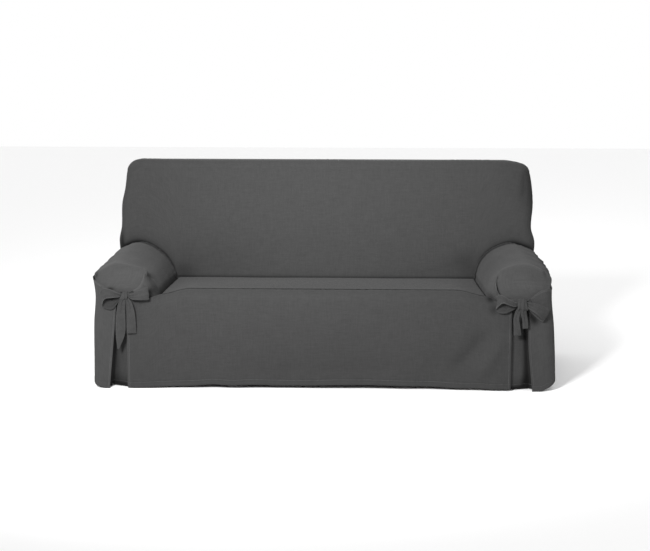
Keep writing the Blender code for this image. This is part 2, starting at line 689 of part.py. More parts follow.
def ribbon(arm, toward, rows, follows):
    """A strip of tie along its table rows; follows turns its width with the path."""
    Keyed = namedtuple("Keyed", ("at",) + Path._fields)
    keyed = [Keyed(index, *row) for index, row in enumerate(rows)]
    count = (len(rows) - 1) * RIBBON_STEPS
    centres = []
    widths = []
    for index in range(count + 1):
        row = Path(*(smooth(keyed, column, index / RIBBON_STEPS) for column in Path._fields))
        centres.append(bow_place(arm, toward, row))
        widths.append(row.width)
    reach = max(centres, key=lambda centre: (centre - centres[0]).length) - centres[0]
    points = []
    for index, centre in enumerate(centres):
        along = reach
        if follows:
            along = centres[min(index + 1, count)] - centres[max(index - 1, 0)]
        side = Vector((-along.z, 0.0, along.x)).normalized()
        points.append([centre + side * (widths[index] * share) for share in RIBBON_SHARES])
    return cloth_sheet("strip", [points], RIBBON, 0.0)


def core(arm, toward, half_depth, half_height):
    """The gathered middle of one tie, an oval plug inside the knot's band."""
    mesh = bmesh.new()
    bmesh.ops.create_cone(mesh, cap_ends=True, segments=14, radius1=1.0, radius2=1.0, depth=1.0)
    bmesh.ops.rotate(mesh, verts=mesh.verts, matrix=Matrix.Rotation(math.pi / 2.0, 3, "Y"))
    length = BAND_HALF - CORE_GAP
    middle = Path(CORE_GAP + length / 2.0, 0.0, 0.0, 0.0)
    bmesh.ops.scale(mesh, vec=(length, half_depth, half_height), verts=mesh.verts)
    bmesh.ops.translate(mesh, vec=bow_place(arm, toward, middle), verts=mesh.verts)
    return new_object("core", mesh)


def knot_band(arm):
    """The band of the knot, a flattened ring round the gathered ties."""
    mesh = bmesh.new()
    count = 20
    wall = BAND_WALL * arm.knot_size
    profile = [(-1.0, 0.0), (-0.85, 0.7), (-0.5, 1.0), (0.5, 1.0), (0.85, 0.7), (1.0, 0.0)]
    rings = []
    for level, grow in profile:
        ring = []
        for index in range(count):
            angle = 2.0 * math.pi * index / count
            depth = (BAND_DEPTH + wall * grow) * math.cos(angle)
            height = (BAND_HEIGHT + wall * grow * 1.6) * math.sin(angle)
            ring.append(mesh.verts.new(bow_place(arm, 1, Path(level * BAND_HALF, height, depth, 0.0))))
        rings.append(ring)
    for ring, following in zip(rings, rings[1:] + rings[:1]):
        for index in range(count):
            after = (index + 1) % count
            mesh.faces.new((ring[index], ring[after], following[after], following[index]))
    bmesh.ops.recalc_face_normals(mesh, faces=mesh.faces)
    return new_object("band", mesh)


def fuse(name, pieces):
    """Joins closed pieces into one body and removes them."""
    body = pieces[0]
    for piece in pieces[1:]:
        union = body.modifiers.new("union", "BOOLEAN")
        union.operation = "UNION"
        union.solver = "EXACT"
        union.object = piece
    bpy.context.view_layer.update()
    data = bpy.data.meshes.new_from_object(body.evaluated_get(bpy.context.evaluated_depsgraph_get()))
    data.materials.clear()
    data.materials.append(cloth_material(name))
    for piece in pieces:
        bpy.data.objects.remove(piece, do_unlink=True)
    bpy.context.collection.objects.link(bpy.data.objects.new(name, data))


def bow(arm):
    """Two ties in one bow: the outer one carries the knot's band."""
    for tie, toward in (("inner", 1), ("outer", -1)):
        key = tie + "_" + arm.name
        if toward > 0:
            pieces = [core(arm, toward, BAND_DEPTH - 0.0030, BAND_HEIGHT - 0.0040)]
        else:
            pieces = [core(arm, toward, BAND_DEPTH + 0.0012, BAND_HEIGHT + 0.0012), knot_band(arm)]
        pieces.append(ribbon(arm, toward, LOOP_OUT + LOOPS[key] + LOOP_BACK, False))
        pieces.append(ribbon(arm, toward, TAIL_OUT + TAILS[key], True))
        pieces.append(ribbon(arm, toward, LEAD_OUT + LEADS[tie], True))
        fuse("tie_" + key, pieces)


def build():
    for old in list(bpy.data.objects):
        bpy.data.objects.remove(old, do_unlink=True)
    inside_back()
    outer_back()
    seat_top()
    front_skirt()
    for arm in (LEFT, RIGHT):
        arm_top(arm)
        arm_outer(arm)
        pleat(arm)
        bow(arm)


build()
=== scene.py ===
# Sofa slipcover in dark charcoal plain weave: panels, bows, stitching, light and camera.
# Metres. The front faces -Y, +X is to the right, +Z is up. Reach is the distance from the middle.
import math
import random

import bpy
import numpy as np
from mathutils import Matrix, Vector


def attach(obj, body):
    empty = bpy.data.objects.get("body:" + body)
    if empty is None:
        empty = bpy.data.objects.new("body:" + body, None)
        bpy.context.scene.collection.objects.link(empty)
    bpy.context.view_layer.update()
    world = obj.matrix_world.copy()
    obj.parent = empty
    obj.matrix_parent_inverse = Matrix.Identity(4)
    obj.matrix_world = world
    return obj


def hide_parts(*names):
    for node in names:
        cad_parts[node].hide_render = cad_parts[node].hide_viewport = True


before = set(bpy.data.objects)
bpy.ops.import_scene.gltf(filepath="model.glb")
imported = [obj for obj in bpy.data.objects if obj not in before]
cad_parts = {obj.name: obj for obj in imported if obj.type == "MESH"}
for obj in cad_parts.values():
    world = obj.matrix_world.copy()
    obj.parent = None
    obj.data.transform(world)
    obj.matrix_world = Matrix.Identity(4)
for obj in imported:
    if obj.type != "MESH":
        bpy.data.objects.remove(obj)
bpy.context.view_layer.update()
print("frame loaded:", len(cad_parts), "nodes")

# Sizes the panels share
clothWall = 0.0016         # thickness of a panel
seamGap = 0.0006           # half of the gap between two joined panels
frontY = -0.445
rearY = 0.475
topZ = 1.005
shoulderZ = 0.552          # side seams behind the arms
seamY = -0.395             # front edge of the seat
seamZ = 0.457
creaseY = 0.20             # where seat and back meet
creaseZ = 0.428
tuckZ = 0.374              # the cloth goes down into the creases to here
backRake = 0.27            # how far it leans back for its height
backRound = 0.052          # radius of the roll over the top and the sides
backCrown = 0.016          # how far the back's middle swells
armCrownFall = 0.034       # how far the arms' crowns fall towards the front
rollShare = 0.45           # share of a turned-in edge that its rounding takes
quarter = math.pi / 2.0

# half widths by height: of the back, and of the cover's front below the arms
backSides = {
    "at": [0.545, 0.605, 0.670, 0.780, 0.860, 0.940, 1.005],
    "left": [1.0490, 1.0560, 1.0470, 1.0480, 1.0340, 1.0270, 1.0190],
    "right": [1.0460, 1.0500, 1.0340, 1.0440, 1.0420, 1.0320, 1.0210],
}
frontSides = {
    "at": [0.0, 0.1, 0.3, 0.42, 0.5, 0.55],
    "left": [1.049, 1.048, 1.046, 1.037, 1.045, 1.050],
    "right": [1.060, 1.059, 1.046, 1.034, 1.037, 1.044],
}
shoulders = {              # height of the arms' outer seams by depth
    "at": [-0.400, -0.340, -0.250, -0.100, 0.100, 0.280, 0.475],
    "left": [0.510, 0.518, 0.524, 0.530, 0.539, 0.552, 0.552],
    "right": [0.470, 0.490, 0.510, 0.521, 0.530, 0.541, 0.552],
}
# the arm's outline from its outer seam over the crown to the tuck beside the seat
armOutline = {
    "at": [0.00, 0.07, 0.15, 0.32, 0.46, 0.60, 0.72, 0.84, 1.00],
    "left": [1.050, 1.044, 1.020, 0.955, 0.887, 0.812, 0.769, 0.756, 0.752],
    "leftZ": [0.542, 0.554, 0.569, 0.592, 0.578, 0.526, 0.463, 0.420, 0.374],
    "right": [1.044, 1.038, 1.012, 0.942, 0.886, 0.820, 0.772, 0.750, 0.748],
    "rightZ": [0.536, 0.552, 0.571, 0.594, 0.588, 0.558, 0.506, 0.440, 0.374],
    "bySeam": [1.0, 0.85, 0.4, 0.05, 0.0, 0.0, 0.0, 0.0, 0.0],
    "byCrown": [0.0, 0.4, 0.8, 1.0, 0.9, 0.6, 0.3, 0.0, 0.0],
}
seamWanders = {"left": 0.0025, "right": 0.0060}    # how far these seams stray sideways
# slit: where the flap parts from the collar; roundY: where the arm begins to turn down in front;
# tip and ramp: how far down the slit's sides stay joined; tuck: how far the flap goes in behind the
# collar; pocket: the hollow between arm, seat and skirt where shade is painted, as reach and height
arms = {
    "left": {
        "sign": -1, "slit": 0.520, "roundY": -0.320, "flapHem": 0.439, "flapInner": 0.830, "tip": 0.30,
        "ramp": 0.04, "tuck": -0.010, "knotReach": 0.892, "knotZ": 0.430, "hemRise": 0.030,
        "hemRounding": 2.4, "skirtEdge": 0.888, "skirtZ": 0.411, "pocket": (0.778, 0.447), "seed": 0,
    },
    "right": {
        "sign": 1, "slit": 0.610, "roundY": -0.290, "flapHem": 0.413, "flapInner": 0.800, "tip": 0.47,
        "ramp": 0.06, "tuck": 0.003, "knotReach": 0.895, "knotZ": 0.402, "hemRise": 0.056,
        "hemRounding": 1.6, "skirtEdge": 0.853, "skirtZ": 0.398, "pocket": (0.757, 0.424), "seed": 6,
    },
}


# Small helpers
def ease(value):
    value = np.clip(value, 0.0, 1.0)
    return value * value * (3.0 - 2.0 * value)


# The same for one number.
def easeAt(value):
    value = min(max(value, 0.0), 1.0)
    return value * value * (3.0 - 2.0 * value)


def blend(first, second, share):
    return first + (second - first) * share


# A smooth curve through one column of a table.
def smooth(table, column, at):
    keys, values = table["at"], table[column]
    at = min(max(at, keys[0]), keys[-1])
    low = 0
    while low < len(keys) - 2 and keys[low + 1] <= at:
        low += 1
    slopes = []
    for index in (low, low + 1):
        before, after = max(index - 1, 0), min(index + 1, len(keys) - 1)
        slopes.append((values[after] - values[before]) / (keys[after] - keys[before]))
    step = keys[low + 1] - keys[low]
    part = (at - keys[low]) / step
    square, cube = part * part, part * part * part
    return ((2 * cube - 3 * square + 1) * values[low] + (cube - 2 * square + part) * step * slopes[0]
            + (3 * square - 2 * cube) * values[low + 1] + (cube - square) * step * slopes[1])


# Cloth that leaves the start level, turns at the corner and hangs down to the end.
def bend(start, corner, end, share):
    back = 1.0 - share
    first = Vector((start.x, blend(start.y, corner.y, 0.50), start.z))
    second = corner.lerp(end, 0.10)
    curve = start * back ** 3 + first * (3.0 * back * back * share)
    return curve + second * (3.0 * back * share * share) + end * share ** 3


def spread(first, last, count):
    return [blend(first, last, index / count) for index in range(count + 1)]


# Steps from the first place on to each next one, by pairs of a place and the steps up to it.
def stepped(first, *legs):
    places = [first]
    for last, count in legs:
        places += spread(first, last, count)[1:]
        first = last
    return places


# Rows up to an edge and on over its rounding.
def levelsOver(count, overCount):
    over = [(1.0, share) for share in spread(0.0, 1.0, overCount)[1:]]
    return [(share, 0.0) for share in spread(0.0, 1.0, count)] + over


# Cloth that rounds one edge or two at a corner, then runs on: both shifts and the depth gained.
def rolled(wrap, over, radius, depth):
    share, length = max(wrap, over), math.hypot(wrap, over)
    if share == 0.0:
        return 0.0, 0.0, 0.0
    if share < rollShare:
        angle = share / rollShare * quarter
        shift, deep = radius * math.sin(angle), radius * (1.0 - math.cos(angle))
    else:
        shift, deep = radius, blend(radius, depth, (share - rollShare) / (1.0 - rollShare))
    return shift * wrap / length, shift * over / length, deep


# The share at which a value that falls from 0 to 1 passes the mark.
def shareWhere(valueAt, mark, rounds=26):
    low, high = 0.0, 1.0
    for _ in range(rounds):
        middle = (low + high) / 2.0
        if valueAt(middle) > mark:
            low = middle
        else:
            high = middle
    return low


# Cloth: grids of points, their relief, their cut lengths and their mesh
def layGrid(pointAt, columns, rows):
    return np.array([[pointAt(column, row) for column in columns] for row in rows], dtype=float)


def gridNormals(points):
    across = np.gradient(points, axis=1)
    along = np.gradient(points, axis=0)
    normals = np.cross(across, along)
    return normals / np.maximum(np.linalg.norm(normals, axis=2, keepdims=True), 1e-9)


# Distances over the cloth, along the rows from a middle column and up the columns.
def cutLengths(points, middle=None):
    middle = points.shape[1] // 2 if middle is None else middle
    across = np.linalg.norm(np.diff(points, axis=1), axis=2)
    u = np.concatenate([np.zeros((points.shape[0], 1)), np.cumsum(across, axis=1)], axis=1)
    u = u - u[:, middle:middle + 1]
    along = np.linalg.norm(np.diff(points, axis=0), axis=2)
    v = np.concatenate([np.zeros((1, points.shape[1])), np.cumsum(along, axis=0)], axis=0)
    return u, v


# How far each point lies from the grid's first column, its last column and its last row.
def edgesAway(u, v):
    return u - u[:, :1], u[:, -1:] - u, v[-1:] - v


# An uneven ripple of about the given pitch, from -1 to 1.
def waves(along, pitch, seed):
    turn = 2.0 * math.pi / pitch
    drift = 1.4 * np.sin(along * turn / 3.7 + seed) + 0.9 * np.sin(along * turn / 1.9 + seed * 2.3)
    height = 0.62 + 0.38 * np.sin(along * turn / 5.3 + seed * 1.7)
    return np.sin(along * turn + drift) * height


# Broad soft unevenness over two directions, from about -1 to 1.
def uneven(a, b, size, seed):
    chance = random.Random(seed)
    total = 0.0
    for _ in range(6):
        angle, phase = chance.uniform(0.0, math.pi), chance.uniform(0.0, 2.0 * math.pi)
        turn = 2.0 * math.pi / (size * chance.uniform(0.7, 1.5))
        total = total + np.sin((a * math.cos(angle) + b * math.sin(angle)) * turn + phase)
    return total / 3.5


# Sum of soft troughs (negative) and ridges placed on a panel by their two ends.
def creased(creases, a, b):
    total = np.zeros_like(a)
    for (a0, b0), (a1, b1), width, height, bow in creases:
        da, db = a1 - a0, b1 - b0
        length = math.hypot(da, db)
        along = ((a - a0) * da + (b - b0) * db) / length ** 2
        off = ((a - a0) * db - (b - b0) * da) / length + bow * np.sin(math.pi * np.clip(along, 0.0, 1.0))
        fade = ease(along / 0.35) * ease((1.0 - along) / 0.35)
        total += height * fade * np.exp(-(off / width) ** 2)
    return total


# How far cloth is drawn in, or how much painted shade darkens it (painted light if negative), near a line the
# given distance away.
def sunk(away, amount, width=0.006):
    return -amount * np.exp(-(away / width) ** 2)


# Small puckers (height, pitch, reach) along a seam, by the place along it and the distance from it.
def puckered(puckers, along, away, seed):
    height, pitch, reach = puckers
    return height * waves(along, pitch, seed) * np.exp(-away / reach)


# Painted shade along a hem's stitch line, where the cloth is drawn in.
def sewnShade(away, band):
    return sunk(np.abs(away - band - 0.001), 0.14, 0.003)


# A band of painted light along an edge by the given amount (painted shade if negative).
def banded(away, band, amount):
    return amount * ease((band - away) / 0.002)


# Keeps the darkest painted shade from going quite black.
def floored(tone, darkest=-0.95):
    return np.maximum(tone, darkest)


# Soft patches of painted shade: across, up, half width, half height, darkness (negative paints light).
def shaded(places, a, b):
    total = np.zeros_like(a)
    for a0, b0, wide, tall, dark in places:
        total -= dark * np.exp(-((a - a0) / wide) ** 2 - ((b - b0) / tall) ** 2)
    return total


def pushed(points, relief, normals=None):
    return points + (gridNormals(points) if normals is None else normals) * relief[..., None]


# Doubled cloth of a hem: a little thicker up to its stitch line, drawn in along it.
def hemmed(away, band, rise):
    return rise * ease((band + 0.003 - away) / 0.004) + sunk(away - band - 0.001, 0.5 * rise, 0.003)


# A mesh object at the origin with a UV map in metres of cloth and the painted light and shade of each point.
def newPiece(name, vertices, faces, coordinates, paintedShadings):
    data = bpy.data.meshes.new(name)
    data.from_pydata([tuple(v) for v in vertices], [], faces)
    layer = data.uv_layers.new(name="cloth")
    loops = np.zeros(len(data.loops), dtype=np.int32)
    data.loops.foreach_get("vertex_index", loops)
    layer.data.foreach_set("uv", np.asarray(coordinates, dtype=np.float32)[loops].ravel())
    data.attributes.new("tone", "FLOAT", "POINT").data.foreach_set("value", paintedShadings)
    data.polygons.foreach_set("use_smooth", [True] * len(data.polygons))
    piece = bpy.data.objects.new(name, data)
    bpy.context.scene.collection.objects.link(piece)
    return piece


# Panels of cloth from grids of (points, u, v), joined where they share a row, with a wall.
def clothPiece(name, grids, flip=False, wall=clothWall, offset=-1.0, weld=1e-5):
    vertices, faces, coordinates, paintedShadings = [], [], [], []
    for points, u, v, *tone in grids:
        base = len(vertices)
        rows, columns = points.shape[:2]
        vertices += points.reshape(-1, 3).tolist()
        coordinates += np.stack([u, v], axis=2).reshape(-1, 2).tolist()
        paintedShadings += (tone[0] if tone else np.zeros((rows, columns))).ravel().tolist()
        for row in range(rows - 1):
            for column in range(columns - 1):
                corner = base + row * columns + column
                face = (corner, corner + 1, corner + columns + 1, corner + columns)
                faces.append(face[::-1] if flip else face)
    piece = newPiece(name, vertices, faces, coordinates, paintedShadings)
    if len(grids) > 1:
        joined = piece.modifiers.new("joined rows", "WELD")
        joined.merge_threshold = weld
    solid = piece.modifiers.new("cloth wall", "SOLIDIFY")
    solid.thickness = wall
    solid.offset = offset
    solid.use_even_offset = False
    return piece


# Turns the piece's modifiers into plain mesh.
def settle(piece):
    bpy.context.view_layer.update()
    plain = bpy.data.meshes.new_from_object(piece.evaluated_get(bpy.context.evaluated_depsgraph_get()))
    piece.modifiers.clear()
    old = piece.data
    piece.data = plain
    bpy.data.meshes.remove(old)
    return piece


# The cloth's finish
clothLook = {
    "colour": (0.0220, 0.0220, 0.0220),   # neutral charcoal
    "threads": 900.0,                  # threads per metre
    "weaveDepth": 0.0004,
    "slubs": 0.28,                     # how strongly thick threads show
    # thick threads sideways and up and down, long and then short: scale both ways, detail, seed
    "thick": [(14.0, 150.0, 3.0, 1.0), (150.0, 14.0, 3.0, 2.0),
              (40.0, 520.0, 2.0, 3.0), (520.0, 40.0, 2.0, 4.0)],
    "mottle": 0.10,
    "clouds": (14.0, 14.0, 4.0, 5.0),
    "sheen": 0.04,
}


# Each input takes a plain value or is linked from another node's socket.
def fill(tree, node, inputs):
    for name, value in inputs.items():
        if isinstance(value, bpy.types.NodeSocket):
            tree.links.new(value, node.inputs[name])
        else:
            node.inputs[name].default_value = value


def addNode(tree, kind, inputs=None, **settings):
    node = tree.nodes.new(kind)
    for name, value in settings.items():
        setattr(node, name, value)
    fill(tree, node, inputs or {})
    return node


def mathNode(tree, operation, *values):
    return addNode(tree, "ShaderNodeMath", dict(enumerate(values)), operation=operation).outputs[0]


def bumped(tree, height, strength, depth):
    bump = addNode(tree, "ShaderNodeBump", {"Strength": strength, "Distance": depth, "Height": height})
    return bump.outputs["Normal"]


def newMaterial(name):
    material = bpy.data.materials.new(name)
    material.use_nodes = True
    return material, material.node_tree, material.node_tree.nodes["Principled BSDF"]


def streaks(tree, uv, scaleU, scaleV, detail, seed):
    place = addNode(tree, "ShaderNodeMapping", {
        "Vector": uv, "Scale": (scaleU, scaleV, 1.0), "Location": (seed * 3.1, seed * 7.7, seed)})
    return addNode(tree, "ShaderNodeTexNoise", {
        "Vector": place.outputs["Vector"], "Scale": 1.0, "Detail": detail, "Roughness": 0.6,
    }, noise_dimensions="2D").outputs["Fac"]


# Plain weave with slubs both ways, a soft mottle and a fine fuzz of loose fibres; each point's painted light
# and shade lightens or darkens it.
def weaveMaterial(name, look, shade=1.0):
    material, tree, shader = newMaterial(name)
    uv = addNode(tree, "ShaderNodeTexCoord").outputs["UV"]
    parts = addNode(tree, "ShaderNodeSeparateXYZ", {0: uv})
    turn = math.pi * look["threads"]
    angles = [mathNode(tree, "MULTIPLY", parts.outputs[axis], turn) for axis in "XY"]
    warp, weft = [mathNode(tree, "SINE", angle) for angle in angles]
    side = mathNode(tree, "MULTIPLY_ADD", mathNode(tree, "MULTIPLY", warp, weft), 0.5, 0.5)
    upper = mathNode(tree, "MULTIPLY", mathNode(tree, "ABSOLUTE", warp), side)
    otherSide = mathNode(tree, "SUBTRACT", 1.0, side)
    lower = mathNode(tree, "MULTIPLY", mathNode(tree, "ABSOLUTE", weft), otherSide)
    weave = mathNode(tree, "ADD", upper, lower)

    thick = [streaks(tree, uv, *row) for row in look["thick"]]
    slub = mathNode(tree, "ADD", mathNode(tree, "ADD", *thick[:2]), mathNode(tree, "ADD", *thick[2:]))
    slubShade = mathNode(tree, "MULTIPLY_ADD", slub, look["slubs"], 1.0 - 2.0 * look["slubs"])
    cloudy = streaks(tree, uv, *look["clouds"])
    cloudShade = mathNode(tree, "MULTIPLY_ADD", cloudy, look["mottle"], 1.0 - 0.5 * look["mottle"])
    threadShade = mathNode(tree, "MULTIPLY_ADD", weave, 0.5, 0.78)
    # painted light and shade of each point, read from its attribute, lightens or darkens the colour
    tone = addNode(tree, "ShaderNodeAttribute", attribute_name="tone")
    value = mathNode(tree, "MULTIPLY", mathNode(tree, "MULTIPLY", slubShade, cloudShade), threadShade)
    value = mathNode(tree, "MULTIPLY", value, mathNode(tree, "ADD", tone.outputs["Fac"], 1.0))
    grey = addNode(tree, "ShaderNodeCombineColor", {0: value, 1: value, 2: value})
    colour = (*[channel * shade for channel in look["colour"]], 1.0)
    tint = addNode(tree, "ShaderNodeMix", data_type="RGBA", blend_type="MULTIPLY")
    fill(tree, tint, {"Factor": 1.0, 6: colour, 7: grey.outputs[0]})

    relief = mathNode(tree, "ADD", weave, mathNode(tree, "MULTIPLY", slub, 0.35))
    fill(tree, shader, {
        "Base Color": tint.outputs[2], "Normal": bumped(tree, relief, 0.6, look["weaveDepth"]),
        "Roughness": 0.93, "Specular IOR Level": 0.12, "Sheen Weight": look["sheen"],
        "Sheen Roughness": 0.55, "Sheen Tint": (0.80, 0.80, 0.80, 1.0)})
    return material


coverCloth = weaveMaterial("charcoal plain weave", clothLook)
tieCloth = weaveMaterial("charcoal weave of the ties", clothLook, 0.97)


# A finished panel from its grids: its mesh, cloth, body and CAD node.
def layPanel(node, grids, flat, area=None, held="stretched", slot="cover_cloth", **cloth):
    piece = settle(clothPiece(node + "_cloth", grids, **cloth))
    piece.data.materials.clear()
    piece.data.materials.append(tieCloth if slot == "tie_cloth" else coverCloth)
    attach(piece, "root")
    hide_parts(node)


stitchLines = []       # (points, normals) of every sewn line


# A sewn line at a distance from an edge of a grid: first or last row or column.
def sewAlong(points, edge, away, lift=0.0002):
    grid = points if edge in ("first row", "last row") else points.transpose(1, 0, 2)
    normals = gridNormals(points)
    normals = normals if edge in ("first row", "last row") else normals.transpose(1, 0, 2)
    if edge.startswith("last"):
        grid, normals = grid[::-1], normals[::-1]
    steps = np.linalg.norm(np.diff(grid, axis=0), axis=2)
    travelled = np.concatenate([np.zeros((1, grid.shape[1])), np.cumsum(steps, axis=0)], axis=0)
    line, ups = [], []
    for column in range(grid.shape[1]):
        index = int(np.searchsorted(travelled[:, column], away))
        index = min(max(index, 1), grid.shape[0] - 1)
        span = travelled[index, column] - travelled[index - 1, column]
        part = (away - travelled[index - 1, column]) / max(span, 1e-9)
        spot = blend(grid[index - 1, column], grid[index, column], part)
        up = blend(normals[index - 1, column], normals[index, column], part)
        line.append(spot + up * lift)
        ups.append(up)
    stitchLines.append((np.array(line), np.array(ups)))
    return stitchLines[-1]


# The back
backLook = {
    # puckers: height, pitch, reach; dips and painted shades: depth or darkness, half width
    "edgePuckers": {"left": (0.0018, 0.034, 0.045), "right": (0.0036, 0.034, 0.045)},
    "edgeDip": (0.0012, 0.005),        # along the seams to the outer back
    "edgeShade": 0.35,
    "topPuckers": (0.0009, 0.030, 0.030),
    "topDip": (0.0022, 0.005),
    "topShade": 0.30,
    "armPuckers": (0.0011, 0.026, 0.050),
    "armDip": (0.014, 0.010),          # round the arms
    "armShades": [(0.96, 0.021), (0.20, 0.060)],
    "creaseShades": [(0.001, 0.45, 0.006), (0.0, 0.10, 0.030)],   # painted shade in the crease above the seat: height first
    "limbShade": {"left": 0.25, "right": 0.42},         # painted shade where the back turns away at its sides
    "lowLimbShade": 0.40,
    "slack": 0.0016,
    "ripple": (0.55, 4),               # size and seed of the slack's unevenness
    "sideFall": 0.014,                 # how far the face falls back at its sides
    "sags": [(1, 0.013, 0.90, 0.11), (-1, 0.009, 0.95, 0.07)],    # top corners: side, depth, reach, over
    # in the right outline: height, half size, depth
    "rightNotches": [(0.948, 0.008, 0.006), (0.640, 0.010, 0.005), (0.600, 0.007, -0.004)],
    # soft patches of painted shade and shadow on the back
    "shades": [
        (-0.72, 0.458, 0.07, 0.05, 0.34), (0.72, 0.485, 0.08, 0.07, 0.30), (-0.62, 0.50, 0.30, 0.12, 0.14),
        (0.55, 0.48, 0.28, 0.10, 0.06), (-0.95, 0.80, 0.20, 0.40, 0.05), (0.98, 0.93, 0.12, 0.14, 0.08),
        (1.03, 0.86, 0.055, 0.12, 0.34), (1.032, 0.944, 0.007, 0.018, 0.60),
        (-1.036, 0.600, 0.012, 0.045, 0.60),
    ],
    # soft creases: from, to, half width, height (negative is a trough), bow
    "creases": [
        ((1.000, 0.975), (0.990, 0.790), 0.013, -0.0100, 0.004),
        ((0.965, 0.960), (0.955, 0.800), 0.016, 0.0020, 0.004),
        ((-1.000, 0.930), (-1.005, 0.760), 0.012, -0.0022, 0.003),
        ((0.800, 0.560), (0.560, 0.455), 0.034, -0.0040, 0.010),
        ((0.700, 0.600), (0.420, 0.470), 0.045, 0.0022, 0.012),
        ((-0.800, 0.555), (-0.600, 0.450), 0.028, -0.0030, 0.008),
        ((-0.640, 0.470), (-0.300, 0.452), 0.016, -0.0016, 0.004),
        ((0.700, 0.462), (0.300, 0.450), 0.016, -0.0018, 0.004),
        ((-0.930, 0.620), (-0.860, 0.700), 0.016, -0.0016, 0.004),
        ((0.900, 0.615), (0.840, 0.720), 0.018, -0.0018, 0.006),
    ],
}


def backHalf(side, height):
    return smooth(backSides, side, height)


def faceY(height):
    return creaseY + backRake * max(height - creaseZ, 0.0)


def faceSwell(side, reach, height):
    share = min(reach / (backHalf(side, height) - backRound), 1.0)
    rise = min(max((height - creaseZ) / 0.6, 0.0), 1.0)
    return backCrown * (1.0 - share * share) * math.sin(math.pi * rise)


# How far the arm's outer seam wanders sideways; the two panels that it joins share it.
def seamWander(side, depth):
    return seamWanders[side] * waves(depth, 0.13, 1.3) * easeAt((0.40 - depth) / 0.15)


# How far the back's face falls back towards its sides.
def sideFall(reach):
    return backLook["sideFall"] * np.exp(-np.maximum(1.02 - reach, 0.0) / 0.09)


# Reach and height on the arm, from its outer seam (share 0) to the tuck beside the seat (share 1).
def armSpot(side, share, depth):
    reach = smooth(armOutline, side, share) + seamWander(side, depth) * smooth(armOutline, "bySeam", share)
    height = smooth(armOutline, side + "Z", share)
    seamFall = smooth(shoulders, side, creaseY) - smooth(shoulders, side, depth)
    crownFall = armCrownFall * easeAt((creaseY - depth) / (creaseY - frontY))
    height -= seamFall * smooth(armOutline, "bySeam", share)
    return reach, height - crownFall * smooth(armOutline, "byCrown", share)


# Height of the arm where it meets the back.
def armHeightAt(side, reach):
    share = shareWhere(lambda share: armSpot(side, share, creaseY)[0], reach)
    return armSpot(side, share, creaseY)[1]


def backSpot(side, reachShare, wrap, bottom, rise, over):
    height = blend(bottom, topZ - backRound, rise)
    reach = reachShare * (backHalf(side, height) - backRound)
    y = faceY(height) - faceSwell(side, reach, height)
    sideways, upward, rearward = rolled(wrap, over, backRound, rearY - clothWall - seamGap - y)
    return (arms[side]["sign"] * (reach + sideways), y + rearward, height + upward)


# The inside back's columns: round the side above the shoulder, over the arm, then above the seat.
def backColumns(side):
    columns = []
    for wrap in spread(1.0, rollShare, 16)[:-1]:
        seamDepth = blend(faceY(shoulderZ), rearY, wrap)
        columns.append((side, 1.0, wrap, smooth(shoulders, side, seamDepth) + seamGap))
    core = backHalf(side, shoulderZ) - backRound
    overlap = 0.004            # the back's lower edge goes in behind the arm
    for angle in spread(90.0, 0.0, 12)[:-1]:
        reach = core + backRound * math.sin(math.radians(angle))
        columns.append((side, 1.0, angle / 90.0 * rollShare, armHeightAt(side, reach) - overlap))
    for reach in stepped(core, (0.80, 24), (0.754, 12)):
        columns.append((side, reach / core, 0.0, max(armHeightAt(side, reach) - overlap, tuckZ)))
    half = backHalf(side, creaseZ) - backRound
    for reach in spread(0.748, 0.0, 64)[:-1]:
        columns.append((side, reach / half, 0.0, tuckZ))
    return columns


# How far the top corners sag.
def cornerDrop(x, z):
    drop = sum(deep * ease((sign * x - reach) / over) for sign, deep, reach, over in backLook["sags"])
    return drop * ease((z - 0.91) / 0.08)


